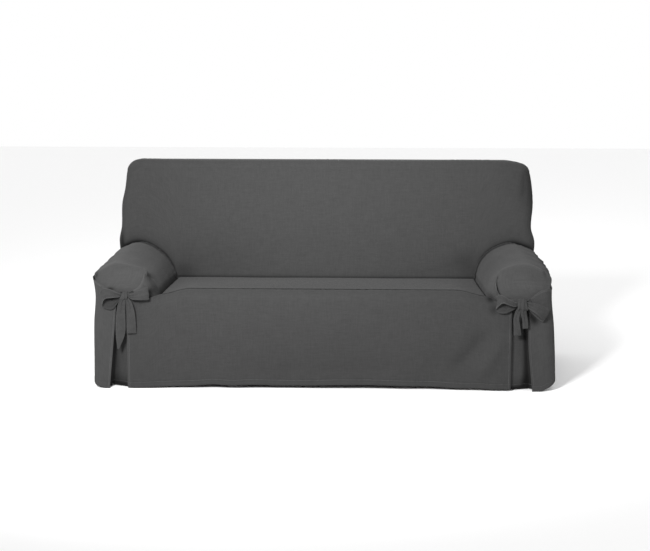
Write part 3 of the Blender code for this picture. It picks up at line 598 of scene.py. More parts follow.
def makeInsideBack():
    look = backLook
    columns = backColumns("left") + [("left", 0.0, 0.0, tuckZ)] + backColumns("right")[::-1]
    points = layGrid(lambda column, level: backSpot(*column, *level), columns, levelsOver(74, 24))
    u, v = cutLengths(points)
    toLeft, toRight, toTop = edgesAway(u, v)
    toSide = np.minimum(toLeft, toRight)
    x, z = points[..., 0], points[..., 2]
    onArm = ease((np.abs(x) - 0.74) / 0.03)
    relief = look["slack"] * uneven(x, z, *look["ripple"]) * ease(v / 0.1)
    relief += creased(look["creases"], x, z)
    for side, away, seed in (("left", toLeft, 1.0), ("right", toRight, 2.6)):
        relief += puckered(look["edgePuckers"][side], z, away, seed) * ease(away / 0.010)
        relief += sunk(away, *look["edgeDip"])
    for height, tall, deep in look["rightNotches"]:
        relief -= deep * np.exp(-((z - height) / tall) ** 2 - toRight / 0.02)
    relief += puckered(look["topPuckers"], x, toTop, 0.7) + sunk(toTop, *look["topDip"])
    relief += puckered(look["armPuckers"], u * 0.8 + z, v, 3.1) * onArm
    relief += sunk(v, *look["armDip"]) * onArm * ease((0.96 - np.abs(x)) / 0.05)
    points = pushed(points, relief)
    points[..., 1] += sideFall(np.abs(x)) * ease(toSide / 0.06)
    points[..., 2] -= cornerDrop(x, z)

    # painted shade by the arms, along the edges, in the patches, above the seat and where the sides turn away
    tone = sum(sunk(v, *shade) for shade in look["armShades"]) * onArm
    tone += sunk(toSide, look["edgeShade"]) + sunk(toTop, look["topShade"]) + shaded(look["shades"], x, z)
    tone += sum(sunk(z - creaseZ - up, *shade) for up, *shade in look["creaseShades"]) * (1.0 - onArm)
    behind = np.maximum(points[..., 1] - creaseY - backRake * (z - creaseZ) - backRound, 0.0)
    for side, onSide in (("left", x < 0.0), ("right", x >= 0.0)):
        toLimb = np.interp(z, backSides["at"], backSides[side]) - np.abs(x)
        limb = sunk(toLimb, look["limbShade"][side], 0.020)
        limb += sunk(toLimb, look["lowLimbShade"]) * (z < 0.86)
        tone += limb * np.exp(-behind / 0.03) * onSide
    layPanel("inside_back", [(points, u, v, floored(tone))], (2.30, 1.10), 1.76)


# Half width of the cover seen from behind.
def outlineHalf(side, height):
    if height < shoulderZ:
        return smooth(frontSides, side, shoulderZ * 0.2)
    half = backHalf(side, height)
    above = height - (topZ - backRound)
    if above > 0.0:
        half -= backRound - math.sqrt(max(backRound ** 2 - above ** 2, 0.0))
    return half


outerBackLook = {
    "hemRise": 0.006,                  # how far the hem hangs clear of the floor
    "hollow": 0.004,                   # how far the cloth sinks in between its sides
    "slack": 0.0018,
    "ripple": (0.5, 9),
    "puckers": (0.0008, 0.027, 0.030),
    "seamDip": (0.0015, 0.005),
    "hem": (0.022, 0.0007),            # hems and edges: width of the doubled cloth, how far it stands up
}


def makeOuterBack():
    look = outerBackLook
    corner = [topZ - backRound + backRound * math.sin(angle) for angle in spread(0.0, quarter, 10)[1:]]
    heights = stepped(0.0, (shoulderZ, 50), (topZ - backRound, 36)) + corner

    def spot(share, height):
        x = share * outlineHalf("left" if share < 0.0 else "right", height)
        lift = look["hemRise"] * (1.0 - min(height / shoulderZ, 1.0))
        slack = look["hollow"] * math.sin(math.pi * min(height / topZ, 1.0)) * math.cos(x * 7.0)
        return (x, rearY - abs(slack * (1.0 - share ** 4)), height + lift)

    points = layGrid(spot, spread(1.0, -1.0, 170), heights)
    u, v = cutLengths(points)
    x, z = points[..., 0], points[..., 2]
    away = np.minimum.reduce(edgesAway(u, v))
    relief = look["slack"] * (uneven(x, z * 0.4, *look["ripple"]) - 1.0) * ease(away / 0.12)
    relief += puckered(look["puckers"], x + z, away, 1.9) * ease(v / 0.05)
    relief += sunk(away, *look["seamDip"]) * ease(v / 0.02)
    relief += hemmed(v, *look["hem"])
    points = pushed(points, relief)
    points[..., 2] -= cornerDrop(x, z)
    sewAlong(points, "first row", look["hem"][0])
    layPanel("outer_back", [(points, u, v)], (2.10, 1.02))


# The seat and the skirt
seatLook = {
    "half": 0.744,
    "round": 0.018,
    "crown": 0.006,
    "rearGap": 0.006,
    "slack": 0.0012,
    "ripple": (0.4, 12),
    "puckers": (0.0007, 0.032, 0.030),
    "frontDip": (0.0050, 0.006),
    "seamFall": (0.030, 0.60, 0.155),  # of the front seam: depth, where it begins, over what length
    "darkest": -0.8,
    "shade": -0.34,                    # painted shade over the whole seat
    "middleShade": 0.30,               # and a third more so in the middle
    "frontShade": (0.85, 0.0055),
    "rearShade": (0.60, 0.012),
    "sideShade": (0.70, 0.010),
    "creases": [
        ((-0.70, 0.10), (-0.10, 0.15), 0.020, -0.0014, 0.01),
        ((0.62, 0.12), (0.20, 0.16), 0.018, -0.0012, 0.01),
        ((0.72, -0.10), (0.55, -0.36), 0.022, -0.0016, 0.01),
    ],
}


# Height of the seam between seat and skirt, which falls towards the arms.
def seamHeight(x):
    fall, reach, over = seatLook["seamFall"]
    return seamZ - fall * easeAt((abs(x) - reach) / over)


def makeSeatTop():
    look = seatLook

    def spot(column, level):
        side, across, wrap = column
        along, over = level
        y = blend(seamY + seamGap, creaseY - look["rearGap"] - look["round"], along)
        reach = across * (look["half"] - look["round"])
        rise = blend(seamHeight(reach), creaseZ, along)
        rise += look["crown"] * math.sin(math.pi * along) * (1.0 - across ** 2)
        sideways, rearward, down = rolled(wrap, over, look["round"], rise - tuckZ)
        return ((reach + sideways) * arms[side]["sign"], y + rearward, rise - down)

    def half(side):
        return ([(side, 1.0, wrap) for wrap in spread(1.0, 0.0, 14)[:-1]]
                + [(side, across, 0.0) for across in spread(1.0, 0.0, 70)[:-1]])

    columns = half("left") + [("left", 0.0, 0.0)] + half("right")[::-1]
    points = layGrid(spot, columns, levelsOver(60, 14))
    u, v = cutLengths(points)
    x, y = points[..., 0], points[..., 1]
    relief = look["slack"] * uneven(x, y, *look["ripple"]) * ease(v / 0.06) + creased(look["creases"], x, y)
    relief += puckered(look["puckers"], x, v, 5.0) + sunk(v, *look["frontDip"])
    points = pushed(points, relief)
    toRear = np.maximum(creaseY - 2.0 * look["rearGap"] - y, 0.0)
    toSide = np.maximum(look["half"] - 0.002 - np.abs(x), 0.0)
    # painted shade along the front seam, the rear crease and the sides, then over the whole seat
    tone = sunk(v, *look["frontShade"]) + sunk(toRear, *look["rearShade"]) + sunk(toSide, *look["sideShade"])
    middle = look["middleShade"] * np.exp(-(x / 0.5) ** 2)
    tone = floored(tone, look["darkest"]) + look["shade"] * (1.0 + middle)
    layPanel("seat_top", [(points, u, v, tone)], (1.60, 0.67))


skirtLook = {
    "folds": [   # x, lean, depth, half width of the skirt's soft upright folds
        (-0.60, 0.10, 0.005, 0.10), (-0.15, -0.06, 0.004, 0.14), (0.22, 0.05, 0.005, 0.12),
        (0.56, 0.45, 0.009, 0.09), (0.70, 0.20, 0.004, 0.06),
    ],
    "creases": [
        ((0.780, 0.300), (0.560, 0.060), 0.042, -0.0200, 0.012),
        ((0.830, 0.270), (0.680, 0.030), 0.032, 0.0110, 0.008),
        ((0.640, 0.330), (0.400, 0.100), 0.070, 0.0055, 0.012),
        ((-0.840, 0.330), (-0.700, 0.120), 0.040, -0.0022, 0.008),
        ((-0.420, 0.400), (-0.520, 0.050), 0.060, -0.0022, 0.010),
        ((0.050, 0.380), (0.000, 0.040), 0.060, 0.0022, 0.010),
        ((-0.500, 0.060), (0.500, 0.085), 0.045, -0.0085, 0.010),
    ],
    "rollPart": 0.24,                  # share of the skirt that rounds the front seam
    "rollDrop": 0.050,
    "cornerReach": 0.735,              # beyond this the skirt's top crosses the arm fronts
    "cornerStand": 0.003,              # how far it stands back from the front there
    "cornerTurn": (0.055, 0.085),      # over what lengths it comes forward and sinks there
    "hemZ": (0.018, -0.004),           # the hem's height in the middle and its slope
    "hemEndZ": {"left": 0.004, "right": 0.008},
    "hemLift": (0.006, 0.20, 0.20),    # height, place, half width
    "slack": 0.0022,
    "ripple": (0.42, 21),
    "puckers": (0.0009, 0.034, 0.035),
    "topDip": (0.0050, 0.006),
    # painted shade along the top seam and in the hollows by the arms
    "topShade": (0.85, 0.0055),
    "pocketShade": (0.85, 0.018),
    "hemWave": 0.0022,
    "hem": (0.024, 0.0008),
    "edge": (0.010, 0.0006),
    # painted light along the side edges
    "sideLight": {"left": 0.20, "right": 0.03},
    "cornerLight": (0.006, 0.15),      # painted highlight along the free top edges across the arm fronts
    "lowShade": (0.10, -0.05, 0.55),   # painted shade near the hem: how much darker, about which x, half width
    # patches of painted shade: the right inner bow's shadow, and a little over the whole skirt
    "shades": [(0.770, 0.374, 0.020, 0.022, 0.38), (0.0, 0.2, 2.0, 1.0, 0.10)],
}


def skirtSpot(x, fall):
    look, side = skirtLook, "left" if x < 0.0 else "right"
    arm, rollPart, past = arms[side], look["rollPart"], abs(x) - look["cornerReach"]
    forward, sink = look["cornerTurn"]
    topY = blend(seamY - seamGap, frontY + look["cornerStand"], easeAt(past / forward))
    top = blend(seamHeight(x), arm["skirtZ"], easeAt(past / sink))
    angle = min(fall / rollPart, 1.0) * quarter
    y = topY - (topY - frontY) * math.sin(angle)
    height = top - look["rollDrop"] * (1.0 - math.cos(angle))
    middleZ, slope = look["hemZ"]
    hem = blend(middleZ + slope * x, look["hemEndZ"][side], easeAt((abs(x) - 0.45) / 0.4))
    lift, place, width = look["hemLift"]
    hem += lift * math.exp(-((x - place) / width) ** 2)
    height = blend(height, hem, max(fall - rollPart, 0.0) / (1.0 - rollPart))
    depth = 0.0
    for place, lean, deep, width in look["folds"]:
        depth += deep * math.exp(-((x - place - lean * (height - 0.2)) / width) ** 2)
    depth *= easeAt((seamZ - height) / 0.25) * easeAt((arm["skirtEdge"] - abs(x)) / 0.10)
    return (x, y + depth, height)


def makeFrontSkirt():
    look = skirtLook
    across = stepped(-arms["left"]["skirtEdge"], (-0.70, 32), (0.70, 150), (arms["right"]["skirtEdge"], 28))
    points = layGrid(skirtSpot, across[::-1], stepped(0.0, (look["rollPart"], 26), (1.0, 56)))
    u, v = cutLengths(points)
    x, z = points[..., 0], points[..., 2]
    toFirst, toLast, toHem = edgesAway(u, v)
    toSide = np.minimum(toFirst, toLast)
    onSeam = ease((0.74 - np.abs(x)) / 0.03)
    relief = look["slack"] * uneven(x, z * 0.35, *look["ripple"]) * (ease(v / 0.10) * ease(toSide / 0.05))
    relief += creased(look["creases"], x, z) * ease(toSide / 0.03)
    relief += (puckered(look["puckers"], x, v, 0.4) + sunk(v, *look["topDip"])) * onSeam
    relief += hemmed(toHem, *look["hem"]) + hemmed(toSide, *look["edge"])
    relief += hemmed(v, *look["edge"]) * (1.0 - onSeam)
    points = pushed(points, relief)
    points[..., 2] += look["hemWave"] * waves(x, 0.31, 2.2) * ease(1.0 - toHem / 0.25) * ease(toSide / 0.15)
    sewAlong(points, "last row", look["hem"][0])
    sewAlong(points, "first column", look["edge"][0])
    sewAlong(points, "last column", look["edge"][0])

    # painted shade along the seam and stitches, in the hollows by the arms and near the hem; painted light
    # along the edges
    tone = sunk(v, *look["topShade"]) * onSeam + sewnShade(toHem, look["hem"][0])
    tone += shaded(look["shades"], x, z)
    for arm in arms.values():
        reach, height = arm["pocket"]
        tone += sunk(np.hypot(x - arm["sign"] * reach, z - height), *look["pocketShade"])
    dark, place, width = look["lowShade"]
    tone = floored(tone) - dark * ease((0.42 - z) / 0.30) * np.exp(-((x - place) / width) ** 2)
    light = np.where(x < 0.0, *look["sideLight"].values())
    tone += banded(toSide, look["edge"][0], light) + banded(v, *look["cornerLight"]) * (1.0 - onSeam)
    layPanel("front_skirt", [(points, u, v, tone)], (1.76, 0.50), 0.84, "hung")


# The arms
armLook = {
    "flapOuter": 1.002,                # reach of the flap's outer corner
    "flapFall": 0.012,                 # how far the flap falls as it turns forward
    "collarLift": 0.0045,              # how far the collar stands out beside it
    "collarStand": 0.004,              # how far it stands in front of the flap at the slit
    "slitSetBack": 0.006,              # how far the flap lies back there
    "rearGap": 0.0014,                 # between arm and back
    "slack": 0.0010,
    "ripple": (0.16, 31),
    "light": 0.09,                     # painted light over the arms
    "flapLight": 0.14,                 # and more so where it turns down in front
    "innerLight": {"left": 0.30, "right": -0.12},       # painted light on the side towards the seat, painted shade if negative
    # puckers: height, pitch, reach; dips and painted shades: depth or darkness, half width
    "seamPuckers": {"left": (0.0016, 0.024, 0.030), "right": (0.0062, 0.024, 0.060)},
    "seamDip": (0.0020, 0.005),
    "seamShade": 0.35,
    "backPuckers": (0.0014, 0.027, 0.040),
    "backDip": (0.008, 0.010),
    "backShade": (0.97, 0.016),
    "tuckShade": (0.60, 0.008),
    "pocketShade": (0.85, 0.020),
    "flapSlack": 0.0010,
    "flapRipple": (0.09, 41),
    "hem": (0.019, 0.0009),
    "flapLines": {"left": (0.026, 0.040), "right": (0.061, 0.072, 0.089)},   # sewn lines above the flap's hem
    "lineDip": (0.0007, 0.0022),
    # painted light along the sewn lines, painted shade along the hem
    "lineLight": (-0.14, 0.0022),
    "flapShade": (0.30, 0.003),
    "cornerShade": {"left": 0.55, "right": 0.85},       # painted shade under the flap's outer corner
    "slitShade": {"left": 0.0, "right": 0.8},
    # hollows of painted shade on the flap beside the ties: reach, height, half sizes, darkness
    "pits": {
        "left": [(0.961, 0.457, 0.016, 0.007, 0.95), (1.034, 0.514, 0.007, 0.014, 0.95)],
        "right": [(1.006, 0.533, 0.007, 0.018, 0.85), (0.985, 0.446, 0.030, 0.005, 0.5)],
    },
    "edge": (0.007, 0.0030),           # rolled hem of the free edge beside the flap
    "edgePuckers": (0.0008, 0.030, 0.020),
    # painted highlight along the rolled edge, painted shade just inside it
    "edgeLight": 0.30,
    "edgeShade": (0.30, 0.003),
    "creases": {
        "left": [
            ((0.90, -0.30), (0.84, 0.05), 0.022, -0.0016, 0.004),
            ((0.97, -0.20), (0.99, 0.18), 0.020, 0.0012, 0.004),
        ],
        "right": [
            ((0.90, -0.26), (0.82, 0.10), 0.022, -0.0018, 0.004),
            ((0.98, -0.24), (1.00, 0.20), 0.018, 0.0014, 0.004),
        ],
    },
}
# the collar's free edge, from the slit down to the hem
innerEdges = {
    "at": [0.00, 0.18, 0.36, 0.60, 0.80, 1.00],
    "left": [0.846, 0.821, 0.811, 0.822, 0.842, 0.872],
    "leftZ": [0.556, 0.545, 0.520, 0.484, 0.462, 0.447],
    "right": [0.790, 0.783, 0.781, 0.786, 0.806, 0.868],
    "rightZ": [0.512, 0.500, 0.483, 0.460, 0.434, 0.416],
}
flapY, collarY = -0.430, -0.4375       # depths of their fronts


# Depth at which the arm meets the back.
def armRearY(side, reach, height):
    core = backHalf(side, height) - backRound
    over = min(max(reach - clothWall - core, 0.0) / backRound, 1.0)
    roll = backRound * (1.0 - math.sqrt(1.0 - over * over))
    gap = armLook["rearGap"] * (1.0 + over)
    return faceY(height) - faceSwell(side, reach, height) + sideFall(reach) + roll - gap


# The arm from the back forward to where it begins to turn down.
def armBody(side, share, run):
    arm = arms[side]
    rear = armRearY(side, *armSpot(side, share, creaseY))
    depth = blend(rear, arm["roundY"], run)
    reach, height = armSpot(side, share, depth)
    return Vector((arm["sign"] * reach, depth, height))


# Where the flap starts on the arm, the corner that it bends round and its place on the hem.
def flapCurve(side, share):
    arm = arms[side]
    start = armBody(side, share, 1.0)
    atEdge = (share / arm["slit"]) ** 6
    hemReach = blend(armLook["flapOuter"], arm["flapInner"], share / arm["slit"])
    end = Vector((arm["sign"] * hemReach, flapY + armLook["slitSetBack"] * atEdge, arm["flapHem"]))
    corner = Vector((blend(start.x, end.x, 0.22 + 0.10 * atEdge), flapY, start.z - armLook["flapFall"]))
    return start, corner, end


# Reach of the collar's free edge at a height.
def collarEdge(side, height):
    levels = {"at": innerEdges[side + "Z"][::-1], "reach": innerEdges[side][::-1]}
    return smooth(levels, "reach", height)


# The flap; its inner side goes in behind the collar's free edge, or stops just short of it.
def flapSpot(side, share, fall):
    arm = arms[side]
    spot = bend(*flapCurve(side, share), fall)
    beside = easeAt((share / arm["slit"] - 0.55) / 0.45) * easeAt(fall / (arm["tip"] + arm["ramp"]))
    spot.x = blend(spot.x, arm["sign"] * (collarEdge(side, spot.z) + arm["tuck"]), beside)
    return spot


# Depth of the flap's inner side at a height.
def flapDepthAt(side, height):
    curve = flapCurve(side, arms[side]["slit"])
    return bend(*curve, shareWhere(lambda fall: bend(*curve, fall).z, height, 20)).y


# The collar starts at the slit as the flap does and turns forward to its free edge.
def collarSpot(side, share, turn):
    arm = arms[side]
    along = (share - arm["slit"]) / (1.0 - arm["slit"])
    tip = flapSpot(side, arm["slit"], arm["tip"])
    start = armBody(side, share, 1.0)
    lift = armLook["collarLift"] * easeAt(along / 0.15) * (1.0 - along)
    height = smooth(innerEdges, side + "Z", along)
    stand = flapDepthAt(side, height) - armLook["collarStand"]
    stand = blend(stand, collarY, easeAt((along - 0.1) / 0.5))
    edge = Vector((arm["sign"] * smooth(innerEdges, side, along), stand - lift, height))
    end = tip.lerp(edge, easeAt(along / 0.25))
    shift = start - armBody(side, arm["slit"], 1.0)
    beside = flapSpot(side, arm["slit"], turn * arm["tip"]) + shift.lerp(end - tip, turn)
    around = Vector((blend(start.x, edge.x, 0.06), edge.y, blend(start.z, edge.z, 0.18)))
    return beside.lerp(bend(start, around, end, turn), easeAt(along / 0.35))


def makeArmTop(side):
    arm, look = arms[side], armLook
    facing = outward = -arm["sign"]    # the right grids' own normals point inwards
    before = stepped(0.0, (0.12, 16), (arm["slit"], 34))
    after = spread(arm["slit"], 1.0, 56)
    cut = len(before) - 1              # the column at which the slit starts
    turns = spread(0.0, 1.0, 16)
    falls = stepped(0.0, (arm["tip"], 16), (1.0, 30))
    body = layGrid(lambda share, run: armBody(side, share, run), before + after[1:], spread(0.0, 1.0, 78))
    flap = layGrid(lambda share, fall: flapSpot(side, share, fall), before, falls)
    collar = layGrid(lambda share, turn: collarSpot(side, share, turn), after, turns)
    bodyU, bodyV = cutLengths(body, cut)
    flapU, flapV = cutLengths(flap, cut)
    collarU, collarV = cutLengths(collar, 0)
    flapV, collarV = flapV + bodyV[-1:, :cut + 1], collarV + bodyV[-1:, cut:]

    reach, y = np.abs(body[..., 0]), body[..., 1]
    away = np.abs(bodyU[:, :1] - bodyU)
    size, seed = look["ripple"]
    relief = look["slack"] * uneven(reach, y, size, seed + arm["seed"])
    relief += puckered(look["seamPuckers"][side], y, away, 1.3) * ease(away / 0.012)
    relief += sunk(away, *look["seamDip"])
    relief += creased(look["creases"][side], reach, y) + puckered(look["backPuckers"], bodyU, bodyV, 0.9)
    relief += sunk(bodyV, *look["backDip"]) * ease((0.96 - reach) / 0.05)
    # painted shade by the back, along the seam and low beside the seat; painted light over the arm and its
    # inner side
    bodyPaintedShading = sunk(bodyV, *look["backShade"]) + sunk(bodyU - bodyU[:, :1], look["seamShade"]) + look["light"]
    bodyPaintedShading += look["innerLight"][side] * ease((0.87 - reach) / 0.09)
    bodyPaintedShading += look["flapLight"] * ease((-0.10 - y) / 0.20)
    bodyPaintedShading = floored(bodyPaintedShading + sunk(np.maximum(body[..., 2] - 0.436, 0.0), *look["tuckShade"]))
    nextRow = np.concatenate([flap[1:2], collar[1:2, 1:]], axis=1)
    normals = gridNormals(np.concatenate([body, nextRow], axis=0))[:-1]
    body = pushed(body, facing * relief, normals)
    shift = normals[-1] * (facing * relief[-1])[:, None]

    # the body's relief is carried on over the rounding, so that the rows stay joined
    def carried(points, columns, own):
        fall = np.linspace(0.0, 1.0, points.shape[0])[:, None]
        own = facing * own * ease(fall / 0.3)
        fade = 1.0 - ease(fall / 0.5)
        return pushed(points + shift[columns][None] * fade[..., None], own, gridNormals(points))

    toHem, toEdge = flapV[-1:] - flapV, collarV[-1:] - collarV
    relief = hemmed(toHem, *look["hem"])
    ripple = uneven(np.abs(flap[..., 0]), flap[..., 2], *look["flapRipple"])
    relief += look["flapSlack"] * ripple * ease(toHem / 0.03)
    for line in look["flapLines"][side]:
        relief += sunk(toHem - line, *look["lineDip"])
    flap = carried(flap, slice(0, cut + 1), relief)
    free = ease(np.abs(collarU) / 0.02)
    relief = hemmed(toEdge, *look["edge"]) * free
    relief += puckered(look["edgePuckers"], collarU, toEdge, 2.0) * free
    collar = carried(collar, slice(cut, None), relief)
    for line in look["flapLines"][side]:
        sewAlong(flap[:, ::outward], "last row", line)
    sewAlong(collar[:, ::outward], "last row", look["edge"][0])

    reach = np.abs(flap[..., 0])
    # painted light and shade on the flap, and on the collar's edge and pocket
    flapPaintedShading = sunk(toHem, *look["flapShade"]) + look["light"] + look["flapLight"]
    for line in look["flapLines"][side]:
        flapPaintedShading += sunk(toHem - line, *look["lineLight"])
    flapPaintedShading += sunk(toHem, look["cornerShade"][side]) * ease((reach - 0.90) / 0.03)
    flapPaintedShading += sunk(flapU, look["slitShade"][side], 0.007) * ease((flapV - flapV[len(turns) - 1]) / 0.01)
    flapPaintedShading = floored(flapPaintedShading + shaded(look["pits"][side], reach, flap[..., 2]))
    collarPaintedShading = banded(toEdge, look["edge"][0], look["edgeLight"])
    collarPaintedShading = (collarPaintedShading + sunk(toEdge - look["edge"][0] - 0.002, *look["edgeShade"])) * free
    reach, height = arm["pocket"]
    away = np.hypot(np.abs(collar[..., 0]) - reach, collar[..., 2] - height)
    collarPaintedShading = floored(collarPaintedShading + sunk(away, *look["pocketShade"]) + look["light"] + look["flapLight"])
    grids = [(body, bodyU, bodyV, bodyPaintedShading), (flap, flapU, flapV, flapPaintedShading),
             (collar, collarU, collarV, collarPaintedShading)]
    layPanel("arm_top_" + side, grids, (0.84, 0.52), 0.37, flip=side == "right", weld=2e-5)


outerArmLook = {
    "turnShare": 0.38,                 # share of the front that rounds the corner
    "cornerRound": 0.045,
    "hemTurn": 1.7,                    # how far round the corner the hem's rise reaches, in its turns
    "rearHem": 0.25,                   # share of the rise at the back
    "wanderFade": 0.08,                # how far down the seam's straying is felt
    "slack": 0.0022,
    "ripple": (0.30, 51),
    # painted light over the panel, more on the left
    "light": {"left": 0.16, "right": 0.06},
    "freeLight": {"left": 0.10, "right": -0.04},        # painted light along the front's free edge, painted shade if negative
    "topLight": 0.22,                                   # and its free top
    "seamPuckers": {"left": (0.0008, 0.024, 0.030), "right": (0.0031, 0.024, 0.030)},
    "seamDip": (0.0020, 0.005),
    "seamShade": 0.35,
    "limbShade": (0.40, 0.009),        # painted shade where the front corner turns away
    "hem": (0.024, 0.0008),
    "edge": (0.009, 0.0010),
    # on the side: depth, height; on the fronts: reach, height
    "creases": {
        "side": [
            ((-0.38, 0.47), (-0.10, 0.20), 0.040, -0.0030, 0.01),
            ((0.30, 0.50), (0.10, 0.05), 0.050, 0.0025, 0.01),
            ((0.02, 0.45), (-0.06, 0.04), 0.045, -0.0025, 0.01),
        ],
        "left": [
            ((1.045, 0.372), (0.990, 0.352), 0.005, -0.0012, 0.001),
            ((0.985, 0.330), (1.010, 0.060), 0.014, 0.0016, 0.002),
        ],
        "right": [
            ((1.020, 0.330), (0.985, 0.080), 0.016, 0.0016, 0.002),
            ((0.960, 0.300), (0.975, 0.040), 0.012, -0.0014, 0.001),
        ],
    },
    # the bows' painted shadows on the fronts
    "bowShades": {
        "left": [((0.928, 0.428), (0.956, 0.368), 0.008, -0.55, 0.0)],
        "right": [((0.900, 0.384), (0.975, 0.298), 0.019, -0.92, 0.004)],
    },
}
# top of the outer panels' fronts, from the corner inwards, and reach of their free edges by height
outerEdges = {
    "at": [0.00, 0.18, 0.38, 0.60, 0.80, 1.00],
    "left": [0.511, 0.497, 0.475, 0.452, 0.444, 0.440],
    "right": [0.470, 0.471, 0.467, 0.452, 0.432, 0.414],
}
freeEdges = {
    "at": [0.0, 0.1, 0.2, 0.3, 0.39, 0.44],
    "left": [0.971, 0.961, 0.951, 0.941, 0.932, 0.915],
    "right": [0.951, 0.940, 0.930, 0.927, 0.922, 0.915],
}


# The outer panel: runs 0 to 1 go along the side, 1 to 2 round the corner and over the front.
def outerSpot(side, run, drop):
    arm, look = arms[side], outerArmLook
    turnShare, cornerRound = look["turnShare"], look["cornerRound"]
    cornerY = frontY + cornerRound
    front = max(run - 1.0, 0.0)
    if front > 0.0:
        depth, top = cornerY, smooth(outerEdges, side, front)
    else:
        depth = blend(rearY - clothWall - seamGap, cornerY, run)
        top = smooth(shoulders, side, depth) - seamGap
    rounding = max(1.0 - front / (turnShare * look["hemTurn"]), 0.0) ** arm["hemRounding"]
    hem = arm["hemRise"] * rounding * blend(look["rearHem"], 1.0, easeAt((0.30 - depth) / 0.6))
    height = blend(top, hem, drop)
    rear = outlineHalf(side, min(height, shoulderZ - 0.001))
    reach = blend(smooth(frontSides, side, height), rear, easeAt((depth - 0.05) / 0.35))
    reach += seamWander(side, depth) * math.exp(-drop / look["wanderFade"])
    if front > 0.0:
        turn = min(front / turnShare, 1.0) * quarter
        across = max(front - turnShare, 0.0) / (1.0 - turnShare)
        depth = cornerY - cornerRound * math.sin(turn)
        reach = blend(reach - cornerRound * (1.0 - math.cos(turn)), smooth(freeEdges, side, height), across)
    return (arm["sign"] * reach, depth, height)


def makeArmOuter(side):
    arm, look = arms[side], outerArmLook
    fronts = stepped(0.0, (look["turnShare"], 18), (1.0, 22))[1:]
    runs = spread(0.0, 1.0, 96) + [1.0 + share for share in fronts]
    points = layGrid(lambda run, drop: outerSpot(side, run, drop), runs, spread(0.0, 1.0, 74))
    freeEdge, frontColumns = "last column", slice(-40, None)
    if side == "left":
        points = points[:, ::-1]
        freeEdge, frontColumns = "first column", slice(0, 40)
    u, v = cutLengths(points)
    x, y, z = np.abs(points[..., 0]), points[..., 1], points[..., 2]
    toFree, toBack, toHem = edgesAway(u, v)
    if side == "right":
        toFree, toBack = toBack, toFree
    onFront, onSeam = ease((-0.405 - y) / 0.03), ease((y + 0.40) / 0.03)
    free = ease(toHem / 0.02) * ease(toBack / 0.05) * ease(v / 0.03)
    size, seed = look["ripple"]
    relief = look["slack"] * uneven(y + x, z * 0.4, size, seed + arm["seed"]) * free * (1.0 - 0.5 * onFront)
    relief += creased(look["creases"]["side"], y, z) * (1.0 - onFront) * ease(v / 0.05)
    relief += creased(look["creases"][side], x, z) * onFront
    relief += puckered(look["seamPuckers"][side], y, v, 1.3) * onSeam * ease(v / 0.012)
    relief += sunk(v, *look["seamDip"]) * onSeam
    relief += hemmed(toHem, *look["hem"]) + hemmed(toFree, *look["edge"])
    relief += hemmed(v, *look["edge"]) * (1.0 - onSeam)
    points = pushed(points, relief)
    sewAlong(points, "last row", look["hem"][0])
    sewAlong(points, freeEdge, look["edge"][0])
    sewAlong(points[:, frontColumns], "first row", look["edge"][0])

    # painted shade along the seam, the hem stitches, under the bows and where the corner turns away; painted
    # light along the edges and over the panel
    tone = sunk(v, look["seamShade"]) * onSeam
    tone += banded(v, look["edge"][0], look["topLight"]) * (1.0 - onSeam)
    tone += banded(toFree, look["edge"][0], look["freeLight"][side]) + sewnShade(toHem, look["hem"][0])
    tone += creased(look["bowShades"][side], x, z) * onFront + look["light"][side]
    toLimb = np.interp(z, frontSides["at"], frontSides[side]) - x
    tone += sunk(toLimb, *look["limbShade"]) * ease((-0.30 - y) / 0.05)
    layPanel("arm_outer_" + side, [(points, u, v, tone)], (1.06, 0.56), 0.54, "hung")


pleatLook = {
    "hemZ": 0.006,
    "lap": 0.016,                      # how far it reaches behind its neighbours
    "topRise": 0.020,                  # how far its top lies above the knot
    "depth": {"left": -0.372, "right": -0.385},
    "edgeDepths": (-0.4422, -0.4385),  # beside the outer panel, low and high
    "skirtDepth": -0.432,
    "topSetBack": 0.012,
    "hem": (0.020, 0.0007),
    "slack": 0.0016,
    "ripple": (0.07, 61),
    # painted light over the pleat, painted shade if negative
    "light": {"left": -0.08, "right": 0.20},
    "wedge": {"left": 0.30, "right": 1.05},             # painted shade beside the outer panel
    "wedgeReach": (0.018, 0.030),      # how far it spreads, and how much more at the hem
    "darkest": -0.93,
    "lowShades": [(0.020, 0.40, 0.035), (0.010, 0.90, 0.009)],   # painted shade above the hem: height first
}


